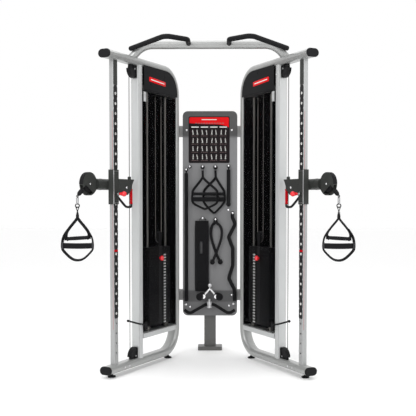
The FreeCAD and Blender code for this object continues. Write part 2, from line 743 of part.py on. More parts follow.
def guide_rods(side):
    rods = []
    for i, way in enumerate((-1, 1)):
        along = size("stack_centre") + way * size("rod_spacing") / 2
        place = at(side, along, 0, size("rail_high"))
        rods.append(rod("%s_guide_rod_%d" % (side, i), "sizes.rod_radius",
                        "sizes.rod_top - sizes.rail_high", place))
        bumper = turned("%s_bumper_%d" % (side, i), [
            ("sizes.rod_radius + 0.4", "0.2"), ("20", "0.2"), ("24", "14"), ("20", "28"),
            ("24", "sizes.stack_low - sizes.rail_high"),
            ("sizes.rod_radius + 0.4", "sizes.stack_low - sizes.rail_high")])
        bumper.Placement = place
        rods.append(bumper)
    return rods


def stack_rail(side, top):
    """Cross rail between the uprights that carries the rods and sheets; the top one has pulley slots."""
    front = size("upright_front") + size("upright_depth")
    rear = value(REAR_LINE) - size("tube_depth") / 2 - 1
    half = size("sheet_offset") - size("sheet_thick") / 2
    low = size("shroud_high") - 8 if top else size("rail_low")
    high = size("rod_top") if top else size("rail_high")
    rail = Part.makeBox(rear - front, 2 * half, high - low, Vector(front, -half, low))
    if top:
        wide = size("cover_offset") - size("sheet_thick") / 2
        above = size("shroud_high") + 2
        ledge = Part.makeBox(rear - front, 2 * wide, high - above, Vector(front, -wide, above))
        slots = [Part.makeBox(last - first, 20, high - low, Vector(first, -10, low))
                 for first, last in ((front, value(FRONT_PULLEY) + 46),
                                     (value(MIDDLE_PULLEY) - 44, size("stack_centre") + 90))]
        rail = rail.fuse(ledge).cut(slots)
        for way in (-1, 1):
            along = size("stack_centre") + way * size("rod_spacing") / 2
            rail = rail.cut(Part.makeCylinder(size("rod_radius"), 60, Vector(along, 0, low - 5)))
    return solid_of(side + ("_top_rail" if top else "_low_rail"), rail, tower(side))


def shroud_sheet(side, inward):
    """Smoked sheet; the one that faces the user has a slot for the selector pin."""
    name = "%s_sheet" % side
    body = new_body(name)
    plan = sketch_on(body, name + "_plan", "XZ_Plane")
    draw_rectangle(plan, "sizes.upright_front + sizes.upright_depth + 1", "sizes.rail_high - 6",
                   "%s - sizes.tube_depth / 2 + 5" % REAR_LINE, "sizes.shroud_high - 1")
    pad(body, plan, "sizes.sheet_thick", symmetric=True)
    if inward > 0:
        slot = sketch_on(body, name + "_slot", "XZ_Plane")
        draw_rectangle(slot, "sizes.stack_centre - 24", "sizes.stack_low",
                       "sizes.stack_centre + 24", "sizes.shroud_high - 90")
        pocket(body, slot, "sizes.sheet_thick + 2")
    body.Placement = at(side, 0, inward * size("sheet_offset"), 0)
    return body


def top_cover(side, inward):
    """Plate that fills the top rear corner of the hoop, following the bend."""
    name = side + "_cover"
    thick = size("sheet_thick")
    front = size("upright_front") + size("upright_depth") + 1
    rear = value(REAR_LINE) - size("tube_depth") / 2 + 10
    low, high = size("shroud_high"), value(BEAM_LEVEL) - size("tube_depth") / 2 + 10
    bend = size("hoop_bend") - size("tube_depth") / 2 + 10
    corner = math.sqrt(0.5) * bend
    turn = Vector(rear - bend, -thick / 2, high - bend)
    face = -thick / 2
    points = [Vector(front, face, low), Vector(rear, face, low), Vector(rear, face, high - bend),
              Vector(rear - bend, face, high), Vector(front, face, high)]
    arc = Part.Arc(points[2], turn + Vector(corner, 0, corner), points[3]).toShape()
    edges = [Part.LineSegment(points[0], points[1]).toShape(),
             Part.LineSegment(points[1], points[2]).toShape(), arc,
             Part.LineSegment(points[3], points[4]).toShape(),
             Part.LineSegment(points[4], points[0]).toShape()]
    plate = Part.Face(Part.Wire(edges)).extrude(Vector(0, thick, 0))
    return solid_of(name, plate, at(side, 0, inward * size("cover_offset"), 0))


def pulley_brackets(side):
    """Pairs of plates that hold the axles of the pulleys in and under the tubes."""
    plates = []
    beam, base = value(BEAM_LEVEL) - size("tube_depth") / 2, value(BASE_LEVEL) + size("tube_depth") / 2
    wheel, high, low = size("redirect_along"), size("redirect_high"), size("redirect_low")
    spans = [(wheel, high, high - 16, beam, 16), (wheel, low, base, low + 16, 16)]
    spans += [(value(along), value(level), value(level) - 13, beam, 11)
              for along, level, _ in OVERHEAD]
    for along, level, floor, roof, half in spans:
        bore = Part.makeCylinder(size("axle_radius") + size("running_gap"), 40,
                                 Vector(along, -20, level), Vector(0, 1, 0))
        for way in (-1, 1):
            centre = way * (size("wheel_width") / 2 + 3)
            plate = Part.makeBox(2 * half, 4, roof - floor, Vector(along - half, centre - 2, floor))
            plates.append(plate.cut(bore))
    return [solid_of("%s_bracket_%d" % (side, i), plate, tower(side))
            for i, plate in enumerate(plates)]


# ---------------------------------------------------------------- carriage

def aimed(side, start, end):
    """Place at start with a piece's own +Z towards end; both are (along, inward, up)."""
    first = Vector(start[0], INWARD[side] * start[1], start[2])
    last = Vector(end[0], INWARD[side] * end[1], end[2])
    return tower(side) * Placement(first, Rotation(Vector(0, 0, 1), last - first))


def carriage_sleeve(side):
    """Square sleeve round the column, with two bracket plates and a block behind it."""
    name = side + "_sleeve"
    body = new_body(name)
    rear = "sizes.column_front + sizes.column_depth"
    half = "sizes.column_width / 2 + sizes.sleeve_gap + sizes.sleeve_wall"
    inner = "sizes.column_width / 2 + sizes.sleeve_gap"
    plan = sketch_on(body, name + "_plan", "XY_Plane", lift="sizes.carriage_low")
    draw_rectangle(plan, "sizes.column_front - 8", "-(%s)" % half, rear + " + 8", half)
    block = pad(body, plan, "sizes.carriage_height")
    fillet_edges(body, block, upright_edge, "7")
    outline = sketch_on(body, name + "_bracket", "XZ_Plane")
    arm = "sizes.arm_level"
    draw_polygon(outline, [(rear + " + 4", arm + " + 38"), ("250", arm + " + 38"),
                           ("232", arm + " + 12"), ("213", arm + " - 25"), ("172", arm + " - 69"),
                           (rear + " + 4", arm + " - 73")])
    pad(body, outline, "2 * (%s)" % half, symmetric=True)
    gap = sketch_on(body, name + "_gap", "XZ_Plane")
    draw_polygon(gap, [(rear + " + 8", arm + " - 80"), ("232", arm + " - 80"),
                       ("232", arm + " + 32"), ("206", arm + " + 32"),
                       ("206", arm + " + 45"), (rear + " + 8", arm + " + 45")])
    pocket(body, gap, "sizes.column_width")
    window = sketch_on(body, name + "_window", "XZ_Plane")
    draw_rectangle(window, "70", arm + " - 54", "94", arm + " - 24")
    pocket(body, window, "40", symmetric=False, reverse=(side == "right"))
    bore = sketch_on(body, name + "_bore", "XY_Plane", lift="sizes.carriage_low")
    draw_rectangle(bore, "sizes.column_front - sizes.sleeve_gap", "-(%s)" % inner,
                   rear + " + sizes.sleeve_gap", inner)
    pocket(body, bore, "sizes.carriage_height", symmetric=False, reverse=True)
    cable = sketch_on(body, name + "_cable", "XY_Plane", lift="sizes.carriage_low")
    draw_circle(cable, "sizes.redirect_along - sizes.redirect_tread", "0", "sizes.cable_radius + 2")
    pocket(body, cable, "sizes.carriage_height", symmetric=False, reverse=True)
    body.Placement = tower(side)
    return body


def carriage(side):
    arm, offset, column = size("arm_level"), size("arm_offset"), size("column_width") / 2
    wall = column + size("sleeve_gap") + size("sleeve_wall")
    cable = size("redirect_along") - size("redirect_tread")
    pin = size("column_front") + size("column_depth") / 2
    socket = rod(side + "_socket", "sizes.arm_radius", "90",
                 at(side, -28, -offset, arm, "rearward"))
    web = box(side + "_web", "56", "%s - sizes.sleeve_gap - 2.5" % (offset - column), "50",
              at(side, 4, -(offset + column) / 2 - 1.5, arm - 33))
    boss = rod(side + "_boss", "12", "%s" % (wall + 7 - column - 2),
               at(side, pin, column + 2, size("pin_level"), "inward"))
    across = INWARD[side] * 13
    route = bent_wire([(64, across, 1210), (160, across, 1144), (226, across, 1144),
                       (226, across, arm + 14)], 20)
    handle = solid_of(side + "_handle_bar", tube_along(route, 7), tower(side))
    bush = turned(side + "_bush", [("sizes.cable_radius + 1.2", "0"), ("12", "0"), ("12", "16"),
                                   ("9", "20"), ("sizes.cable_radius + 1.2", "20")])
    bush.Placement = at(side, cable, 0, arm + 38)
    pieces = [carriage_sleeve(side), socket, web, boss, handle, bush]
    for i, level in enumerate((arm + 9, arm - 37)):
        roller = turned("%s_guide_%d" % (side, i), [
            ("0", "-6"), ("20.5", "-6"), ("20.5", "-4"), ("14.5", "-2.8"), ("14.5", "2.8"),
            ("20.5", "4"), ("20.5", "6"), ("0", "6")])
        roller.Placement = at(side, cable - 18, 0, level, "inward")
        pieces.append(roller)
        pieces.append(rod("%s_guide_axle_%d" % (side, i), "5", str(2 * wall + 6),
                          at(side, cable - 18, -wall - 3, level, "inward")))
    pieces.append(bolt(side + "_carriage_bolt", at(side, 155, wall, arm - 20, "inward"), "5", "7"))
    whole = joined(side + "_carriage_parts", pieces)
    bores = joined(side + "_carriage_bores", [
        rod(side + "_socket_bore", "sizes.spindle_radius", "100",
            at(side, -33, -offset, arm, "rearward")),
        rod(side + "_pin_bore", "6 + sizes.running_gap", "40",
            at(side, pin, column - 5, size("pin_level"), "inward"))])
    return cut(side + "_carriage", whole, bores)


def carriage_grip(side):
    """Rubber sleeve over the upright part of the carriage handle."""
    grip = turned(side + "_carriage_grip", [("7", "0"), ("9.5", "0"), ("10.2", "6"), ("9.4", "18"),
                                            ("9.4", "58"), ("10.2", "68"), ("9", "73"), ("7", "73")])
    grip.Placement = at(side, 226, 13, 1168)
    return grip


def pull_pin(side):
    """Spring pin with a tapered hub and a ball knob, drawn clear of the column's holes."""
    column = size("column_width") / 2
    along = size("column_front") + size("column_depth") / 2
    shaft = turned(side + "_pin_shaft", [
        ("0", "5.4"), ("4.5", "5.4"), ("6", "7.4"), ("6", "38"), ("9", "38"), ("10", "46"),
        ("13", "58"), ("0", "58")])
    shaft.Placement = at(side, along, column - 5, size("pin_level"), "inward")
    ball = doc.addObject("Part::Sphere", side + "_pin_ball")
    bind(ball, Radius="17.5")
    ball.Placement = at(side, along, column + 66, size("pin_level"))
    return joined(side + "_pull_pin", [shaft, ball])


# ---------------------------------------------------------------- arm and handle

def arm(side):
    """Spindle, tube and the two covers that house the head wheel."""
    level, offset, head = size("arm_level"), size("arm_offset"), size("head_along")
    radius, half, skin = size("head_radius"), size("head_width") / 2, 4
    spindle = rod(side + "_spindle", "sizes.spindle_radius - sizes.running_gap", "88",
                  at(side, -30, -offset, level, "rearward"))
    tube = rod(side + "_arm_tube", "sizes.arm_radius", "68",
               at(side, -28.5, -offset, level, "forward"))
    collar = turned(side + "_arm_collar", [("0", "0"), ("38.2", "0"), ("38.2", "12"), ("0", "12")])
    collar.Placement = at(side, -30, -offset, level, "forward")
    cover = Part.makeCylinder(radius, skin, Vector(0, 0, -half))
    chord = [(-90, -8 - 49 * 0.64, -half - 1), (-41, -8, -half - 1), (47, -64, -half - 1),
             (60, -90, -half - 1), (-90, -90, -half - 1)]
    near = Part.makeCylinder(radius, skin, Vector(0, 0, half - skin))
    window = plate_from([(x, y, half - skin - 1) for x, y, _ in chord], skin + 2, (0, 0, 1))
    near = near.cut(window)
    ring = Part.makeCylinder(radius, 2 * half - 2, Vector(0, 0, 1 - half))
    ring = ring.cut(Part.makeCylinder(radius - 9, 2 * half, Vector(0, 0, -half)))
    below = plate_from([(-90, -8, -half), (-41, -8, -half), (10, -80, -half), (-90, -80, -half)],
                       2 * half, (0, 0, 1))
    hub = Part.makeCylinder(size("axle_radius"), 2 * half + 4, Vector(0, 0, -half - 2))
    disc = cover.fuse([near, ring.cut(below), hub]).removeSplitter()
    # the disc is drawn with X to the rear, Y up and Z towards the user
    inward = Vector(0, INWARD[side], 0)
    turn = Rotation(Vector(1, 0, 0), Vector(0, 0, 1), inward, "ZXY")
    if side == "right":
        disc = disc.mirror(Vector(0, 0, 0), Vector(0, 0, 1))
        turn = Rotation(Vector(1, 0, 0), Vector(0, 0, 1), -inward, "ZXY")
    case = solid_of(side + "_head_case", disc, at(side, head, -offset, level) * Placement(Vector(), turn))
    whole = joined(side + "_arm_parts", [spindle, tube, collar, case])
    inside = joined(side + "_arm_hollow", [
        rod(side + "_arm_bore", "12", "140", at(side, -96, -offset, level, "rearward")),
        rod(side + "_head_hollow", "%s" % (radius - 9), "%s" % (2 * half - 2 * skin),
            at(side, head, -offset - half + skin, level, "inward"))])
    hollow = cut(side + "_arm_shell", whole, inside)
    axle_piece = rod(side + "_head_axle", "sizes.axle_radius", "%s" % (2 * half),
                     at(side, head, -offset - half, level, "inward"))
    return joined(side + "_arm", [hollow, axle_piece])


def head_wheel(side):
    place = at(side, size("head_along"), -size("arm_offset"), size("arm_level"), "inward")
    return grooved_wheel(side + "_head_wheel", "sizes.head_tread", place)


def cable_end(side):
    """Rubber stop on the cable, ending in an eye."""
    across = -size("arm_offset")
    stop = turned(side + "_cable_stop", [("0", "0"), ("9", "0"), ("14", "4"), ("15", "18"),
                                         ("14", "40"), ("9.5", "50"), ("5", "57"), ("0", "57")])
    stop.Placement = aimed(side, (-233.8, across, 1254.9), (-284, across, 1214.7))
    eye = doc.addObject("Part::Torus", side + "_cable_eye")
    bind(eye, Radius1="8", Radius2="2.6")
    eye.Placement = at(side, -284, across, 1213, "inward")
    return joined(side + "_cable_end", [stop, eye])


def hanging_place(side, up):
    """Under the cable's eye, with world axes."""
    spot = at(side, -284, -size("arm_offset"), 0).Base
    return Placement(Vector(spot.x, spot.y, up), Rotation())


def snap_hook(side):
    """Closed oval hook through the eye, and the ring that the webbing hangs from."""
    loop = []
    top, bottom, half = 1204.0, 1168.0, 8.0
    turn = math.pi / 2
    spots = [Vector(half, 0, bottom), Vector(half, 0, top), Vector(-half, 0, top), Vector(-half, 0, bottom)]
    loop = [Part.LineSegment(spots[0], spots[1]).toShape(),
            Part.Arc(spots[1], Vector(0, 0, top + half), spots[2]).toShape(),
            Part.LineSegment(spots[2], spots[3]).toShape(),
            Part.Arc(spots[3], Vector(0, 0, bottom - half), spots[0]).toShape()]
    oval = tube_along(Part.Wire(loop), 2.6)
    ring = Part.makeTorus(11.5, 2.8, Vector(0, 0, 1154.5), Vector(1, 0, 0))
    yaw = Rotation(Vector(0, 0, 1), tower(side).Rotation.toEuler()[0] - 90)
    place = hanging_place(side, 0)
    place.Rotation = yaw
    return group(side + "_snap_hook", [solid_of(side + "_hook_oval", oval, place),
                                       solid_of(side + "_hook_ring", ring, place)])


def handle_tilt(side):
    return Rotation(Vector(0, 1, 0), INWARD[side] * 6.0)


def handle_webbing(side):
    """Webbing from the ring to the grip, the wider loop below it and the padded strap across."""
    wide = (0, 1, 0)
    neck = Part.makeBox(7, 25, 74, Vector(-3.5, -12.5, 1066))
    grip, half = size("grip_level"), size("grip_length") / 2
    drop = INWARD[side] * 7.5
    pieces = [neck]
    for way in (-1, 1):
        low = grip + way * drop
        leg = bent_wire([(0, 0, 1072), (way * 42, 0, 1024), (way * 70, 0, 988),
                         (way * (half + 2), 0, low - 6)], 30)
        pieces.append(strap_along(leg, 25, 3, wide))
    strap, reach = size("strap_level"), size("strap_length") / 2
    loop = bent_wire([(-66, 0, 992), (-90, 0, 950), (-reach, 0, strap), (-reach + 4, 0, 872),
                      (-48, 0, 824), (0, 0, 812), (48, 0, 824), (reach - 4, 0, 872),
                      (reach, 0, strap), (90, 0, 950), (66, 0, 992)], 40)
    pieces.append(strap_along(loop, 25, 3, wide))
    pad_box = Part.makeBox(2 * reach + 4, 11, 38, Vector(-reach - 2, -11, strap - 19))
    pad_box = pad_box.makeFillet(5, [e for e in pad_box.Edges if e.BoundBox.XLength > 100])
    pieces.append(pad_box)
    whole = pieces[0].fuse(pieces[1:]).removeSplitter()
    bore = Part.makeCylinder(9, 2 * half + 20, Vector(-half - 10, 0, 0), Vector(1, 0, 0))
    bore.Placement = Placement(Vector(0, 0, grip), handle_tilt(side))
    return solid_of(side + "_handle_webbing", whole.cut(bore), hanging_place(side, 0))


def handle_grip(side):
    """Ribbed grip tube between the legs of the webbing."""
    half = "sizes.grip_length / 2"
    grip = turned(side + "_handle_grip", [
        ("0", "-%s - 8" % half), ("8.8", "-%s - 8" % half), ("8.8", "4 - %s" % half),
        ("15", "4 - %s" % half), ("15", "9 - %s" % half), ("12.5", "13 - %s" % half),
        ("13.5", "0"), ("12.5", "%s - 13" % half), ("15", "%s - 9" % half),
        ("15", "%s - 4" % half), ("8.8", "%s - 4" % half), ("8.8", "%s + 8" % half),
        ("0", "%s + 8" % half)])
    place = hanging_place(side, size("grip_level"))
    place.Rotation = handle_tilt(side) * Rotation(Vector(0, 0, 1), Vector(1, 0, 0))
    grip.Placement = place
    return grip


# ---------------------------------------------------------------- chin-up bar

def oval_prism(length):
    """Outer shape of the frame tube along its own +X."""
    reach, turn = value(OVAL_STRAIGHT), size("tube_depth") / 2
    low, high = Vector(0, -reach, -turn), Vector(0, reach, turn)
    edges = [Part.LineSegment(low, Vector(0, reach, -turn)).toShape(),
             Part.Arc(Vector(0, reach, -turn), Vector(0, reach + turn, 0), high).toShape(),
             Part.LineSegment(high, Vector(0, -reach, turn)).toShape(),
             Part.Arc(Vector(0, -reach, turn), Vector(0, -reach - turn, 0), low).toShape()]
    return Part.Face(Part.Wire(edges)).extrude(Vector(length, 0, 0))


def beam_space(side):
    prism = oval_prism(700)
    prism.Placement = at(side, size("hoop_front"), 0, value(BEAM_LEVEL))
    return prism


def rear_space(side):
    prism = oval_prism(2100)
    prism.Placement = at(side, value(REAR_LINE), 0, 60) * \
        Placement(Vector(), Rotation(Vector(0, 1, 0), -90))
    return prism


def chin_bar_shape():
    y = size("feet_line_y") + size("chin_from_feet")
    foot, level, low = size("chin_foot_x"), size("chin_level"), size("beam_high") - 15
    route = bent_wire([(-foot, y, low), (-foot + 93, y, level), (foot - 93, y, level),
                       (foot, y, low)], 150)
    return tube_along(route, size("chin_radius"))


def chin_up_bar():
    shape = chin_bar_shape().cut([beam_space(side) for side in SIDES])
    return solid_of("chin_up_bar", shape)


def chin_grips():
    """Two bent grips welded to the front of the bar and to its outer shoulders."""
    feet = size("feet_line_y")
    grips = []
    for way in (-1, 1):
        route = bent_wire([(way * 140, feet + 236, 2271), (way * 139, feet + 28, 2257),
                           (way * 280, feet - 90, 2257), (way * 541, feet + 236, 2238)], 45)
        shape = tube_along(route, 17).cut(chin_bar_shape())
        largest = max(shape.Solids, key=lambda solid: solid.Volume)
        grips.append(solid_of("chin_grip", largest))
    return grips


# ---------------------------------------------------------------- back board

def board_point(x, up, proud=0.0):
    """In front of the board: proud is the distance from its front face."""
    return Vector(x, size("feet_line_y") + size("board_from_feet") - proud, up)


def board_tube(points, radius, bend, proud):
    """Round bar in front of the board through (x, up) points."""
    return tube_along(bent_wire([board_point(x, up, proud) for x, up in points], bend), radius)


def board_strap(points, width, thickness, bend, proud):
    """Webbing in front of the board through (x, up) points, its width standing off the board."""
    wire = bent_wire([board_point(x, up, proud) for x, up in points], bend)
    return strap_along(wire, width, thickness, (0, 1, 0))


def plate_on_board(name, outline, thick, corner, proud):
    """Rounded rectangle parallel to the board; outline is x0, z0, x1, z1 as expressions."""
    body = new_body(name)
    sketch = sketch_on(body, name + "_outline", "XZ_Plane")
    draw_rectangle(sketch, *outline)
    plate = pad(body, sketch, thick)
    fillet_edges(body, plate, lambda edge: edge.BoundBox.YLength > edge.BoundBox.XLength
                 + edge.BoundBox.ZLength, corner)
    body.Placement = Placement(board_point(0, 0, proud), Rotation())
    return body


def accessory_board():
    half = "sizes.board_width / 2"
    return plate_on_board("accessory_board",
                          ("-%s" % half, "sizes.board_low", half, "sizes.board_high"),
                          "sizes.board_thick", "40", -size("board_thick"))


def instruction_placard():
    return plate_on_board("instruction_placard", ("-168", "1485", "154", "1849"), "3", "12", 0)


def crossmembers():
    """Two tubes behind the board, each with two arms forward to the rear uprights."""
    feet = size("feet_line_y")
    back = feet + size("board_from_feet") + size("board_thick")
    height, half = size("cross_height"), size("cross_half")
    bars = []
    for level in (size("cross_low"), size("cross_high")):
        bar = Part.makeBox(2 * half, 30, height, Vector(-half, back, level - height / 2))
        arms = [Part.makeBox(46, back + 4 - feet - 742, height - 16,
                             Vector(x, feet + 742, level - height / 2 + 8)) for x in (-284, 238)]
        bar = bar.fuse(arms).cut([rear_space(side) for side in SIDES])
        main = max(bar.Solids, key=lambda solid: solid.Volume)
        bars.append(solid_of("crossmember", main.removeSplitter()))
    return bars


def board_post():
    y = size("feet_line_y") + size("board_from_feet") + size("board_thick") + 30
    low, high = 30, size("cross_high") + size("cross_height") / 2
    width = size("post_width")
    post = Part.makeBox(width, 50, high - low, Vector(-width / 2, y, low))
    inner = Part.makeBox(width - 6, 44, high - low + 2, Vector(-width / 2 + 3, y + 3, low - 1))
    return solid_of("board_post", post.cut(inner))


def board_foot():
    y = size("feet_line_y") + size("board_from_feet") + size("board_thick") + 55
    half = size("foot_width") / 2
    plate = Part.makeBox(2 * half, 116, 30, Vector(-half, y - 58, 0))
    plate = plate.makeFillet(14, [e for e in plate.Edges if e.BoundBox.ZLength > 29])
    return solid_of("board_foot", plate)


PEGS = [(-57, 1455), (43, 1455), (146, 1460), (-158, 1455), (-57, 1052), (44, 1043), (145, 1116),
        (-186, 1432), (0, 526), (-4, 386), (-188, 375), (-156, 356), (151, 366), (184, 380),
        (178, 1092)]


def accessory_pegs():
    """Round pegs on the board, and a lever with a ball end at the foot of each shroud."""
    pegs = []
    for x, up in PEGS:
        pegs.append(Part.makeCylinder(4.5, 62, board_point(x, up, 0), Vector(0, -1, 0)))
    levers = []
    for side in SIDES:
        across = INWARD[side] * (size("sheet_offset") + size("sheet_thick") / 2 + 5.5)
        route = bent_wire([(372, across, 310), (306, across, 316), (152, across, 360)], 60)
        neck = Part.makeCylinder(3.5, 20, Vector(154, across, 359.4), Vector(-1, 0, 0.28))
        ball = Part.makeSphere(9, Vector(137, across, 364))
        levers.append(solid_of(side + "_lever", tube_along(route, 5.5).fuse([neck, ball]), tower(side)))
    return [solid_of("peg", peg) for peg in pegs] + levers


def straight_bars():
    """Long bar with an eye at its top, and a short one with a ball end."""
    eye = Part.makeTorus(10, 4.5, board_point(-186, 1431.1, 24), Vector(0, 1, 0))
    long_bar = Part.makeCylinder(14, 1008, board_point(-186, 396, 24), Vector(0, 0, 1))
    neck = Part.makeCylinder(6, 18, board_point(-186, 1402, 24), Vector(0, 0, 1))
    short_bar = Part.makeCylinder(14.5, 262, board_point(146, 1170, 24), Vector(0, 0, 1))
    ball = Part.makeSphere(18, board_point(146, 1160, 24))
    stem = Part.makeCylinder(5, 19, board_point(146, 1430, 24), Vector(0, 0, 1))
    loop = Part.makeTorus(10, 3, board_point(146, 1457.6, 24), Vector(0, 1, 0))
    return [solid_of("long_bar", long_bar.fuse([neck, eye]).removeSplitter()),
            solid_of("short_bar", short_bar.fuse([ball, stem, loop]).removeSplitter())]


def stirrup(x, left, right, bottom, proud):
    """Handle on webbing that hangs from a ring on a peg, with a wider loop under its grip."""
    ring = Part.makeTorus(11, 3, board_point(x, 1451.6, proud), Vector(0, 1, 0))
    middle = (left + right) / 2
    pieces = [board_strap([(x, 1443), (x + 2, 1368)], 22, 5, 5, proud)]
    for end in (left, right):
        pieces.append(board_strap([(x + 2, 1372), (x + 0.6 * (end - x), 1310), (end, 1262),
                                   (end, 1230)], 22, 3, 25, proud))
    pieces.append(board_strap([(left, 1250), (left - 6, 1200), (left + 8, 1165), (middle, bottom),
                               (right - 8, 1165), (right + 6, 1200), (right, 1250)],
                              22, 3, 45, proud))
    grip = Part.makeCylinder(12.5, right - left, board_point(left, 1242, proud), Vector(1, 0, 0))
    band = Part.makeBox(right - left + 8, 9, 34, board_point(left - 4, 1183, proud + 10))
    return ring.fuse(pieces + [grip, band]).removeSplitter()


def stirrup_handles():
    return [solid_of("stirrup_left", stirrup(-57, -133, 56, 1123, 48)),
            solid_of("stirrup_right", stirrup(43, -46, 110, 1094, 18))]


def padded_strap():
    """Folded padded strap with a long slit, hung by its upper edge."""
    slab = Part.makeBox(108, 30, 557, board_point(-118, 475, 40))
    slab = slab.makeFillet(9, [e for e in slab.Edges if e.BoundBox.ZLength > 500])
    slit = Part.makeBox(20, 60, 96, board_point(-79, 772, 60))
    hanger = Part.makeBox(60, 8, 16, board_point(-87, 1031, 30))
    return solid_of("padded_strap", slab.fuse(hanger).cut(slit).removeSplitter())


def triceps_rope():
    """Rope doubled through an eye, its ends crossed and finished with balls."""
    eye = Part.makeTorus(12, 4.5, board_point(44, 1040.1, 30), Vector(0, 1, 0))
    clamp = Part.makeBox(36, 46, 22, board_point(26, 1006, 53))
    left = board_tube([(39, 1014), (12, 1000), (4, 910), (46, 776), (78, 712)], 9, 30, 20)
    right = board_tube([(49, 1014), (86, 1000), (98, 910), (50, 776), (22, 712)], 9, 30, 41)
    balls = [Part.makeSphere(18, board_point(x, 706, proud)) for x, proud in ((81, 20), (19, 41))]
    return solid_of("triceps_rope", eye.fuse([clamp, left, right] + balls))


def curl_bar():
    route = [(177, 1083), (176, 1060), (199, 1004), (146, 902), (180, 812), (180, 679), (148, 577),
             (192, 491), (195, 401)]
    bar = board_tube(route, 14, 34, 24)
    eye = Part.makeTorus(9, 3.5, board_point(178, 1091.1, 24), Vector(0, 1, 0))
    return solid_of("curl_bar", bar.fuse(eye))


def v_handle():
    """Close-grip handle: a V of bar with two grips that point at the user."""
    apex = Part.makeTorus(11, 4, board_point(0, 523.6, 51), Vector(0, 1, 0))
    neck = Part.makeCylinder(5, 22, board_point(0, 491, 51), Vector(0, 0, 1))
    arms = board_tube([(-43, 448), (0, 500), (43, 448)], 9, 12, 51)
    grips = [Part.makeCylinder(16, 96, board_point(x, 442, 14), Vector(0, -1, 0)) for x in (-50, 50)]
    return solid_of("v_handle", apex.fuse([arms, neck] + grips))


def lat_bar():
    """Wide bar with drooping ends and a swivel block in the middle."""
    route = [(-201, 330), (-160, 300), (-30, 374), (30, 374), (150, 300), (196, 330)]
    bar = board_tube(route, 12, 60, 48)
    block = Part.makeCylinder(19, 52, board_point(-4, 348, 48), Vector(0, 0, 1))
    hole = Part.makeCylinder(5.2, 70, board_point(-4, 385.4, 0), Vector(0, -1, 0))
    return solid_of("lat_bar", bar.fuse(block).removeSplitter().cut(hole))


# ---------------------------------------------------------------- assembly

def both(maker):
    """The pieces of the two towers in one list."""
    found = []
    for side in SIDES:
        made = maker(side)
        found += made if isinstance(made, list) else [made]
    return found


def node(label, thing):
    """One exported piece: a single object keeps its own shape, a list becomes a group."""
    if isinstance(thing, list):
        return group(label, thing)
    thing.Label = label
    return thing


fill_sheet()

nodes = [
    node("left_frame_hoop", frame_hoop("left")),
    node("right_frame_hoop", frame_hoop("right")),
    node("uprights", both(upright)),
    node("slide_columns", both(slide_column)),
    node("frame_end_caps", [end_cap(side, level) for side in SIDES
                            for level in (BASE_LEVEL, BEAM_LEVEL)]),
    node("levelling_feet", both(foot_shape)),
    node("shroud_panels", [shroud_sheet(side, way) for side in SIDES for way in (-1, 1)]),
    node("top_covers", [top_cover(side, way) for side in SIDES for way in (-1, 1)]),
    node("stack_rails", [stack_rail(side, top) for side in SIDES for top in (False, True)]),
    node("guide_rods", both(guide_rods)),
    node("pulley_guards", [pulley_guard(side, level, upward) for side in SIDES
                           for level, upward in (("sizes.redirect_high", False),
                                                 ("sizes.redirect_low", True))]
         + both(pulley_brackets)),
    node("fasteners", both(frame_fasteners)),
    node("cables", both(main_cable)),
    node("stack_pulleys", both(stack_pulleys)),
    node("chin_up_bar", chin_up_bar()),
    node("chin_grips", chin_grips()),
    node("crossmembers", crossmembers()),
    node("accessory_board", accessory_board()),
    node("instruction_placard", instruction_placard()),
    node("board_post", board_post()),
    node("board_foot", board_foot()),
    node("accessory_pegs", accessory_pegs()),
    node("straight_bars", straight_bars()),
    node("stirrup_handles", stirrup_handles()),
    node("padded_strap", padded_strap()),
    node("triceps_rope", triceps_rope()),
    node("curl_bar", curl_bar()),
    node("v_handle", v_handle()),
    node("lat_bar", lat_bar()),
]
resting_count = int(size("plate_count") - size("plates_pinned"))
pinned_count = int(size("plates_pinned"))
nodes.append(node("resting_weight_plates",
                  both(lambda side: plate_column(side, "resting_plate", 0, resting_count))))
for side in SIDES:
    lifted = plate_column(side, "lifted_plate", resting_count, pinned_count) + [head_plate(side)]
    nodes += [
        carriage(side), carriage_grip(side), pull_pin(side), arm(side), head_wheel(side),
        cable_end(side), snap_hook(side), handle_webbing(side), handle_grip(side),
        node(side + "_lifted_plates", lifted), selector_pin(side), stack_cable(side),
        redirect_wheel(side, "_top_wheel", "sizes.redirect_high"),
        redirect_wheel(side, "_bottom_wheel", "sizes.redirect_low"),
        grooved_wheel(side + "_floating_wheel", "sizes.floating_tread",
                      at(side, size("stack_centre") + 30, 0,
                         stack_top() + size("head_height") + size("floating_rise"), "inward")),
    ]

doc.recompute()
for thing in doc.Objects:
    faults = [state for state in thing.State if state in ("Invalid", "Error")]
    if faults:
        raise RuntimeError("%s does not recompute: %s" % (thing.Label, faults))
for piece in nodes:
    if piece.Shape.isNull() or not piece.Shape.isValid() or not piece.Shape.Solids:
        raise RuntimeError("%s has no valid solid" % piece.Label)

os.makedirs("parts", exist_ok=True)
for piece in nodes:
    piece.Shape.exportStep("parts/%s.step" % piece.Label)
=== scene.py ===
import json
import math

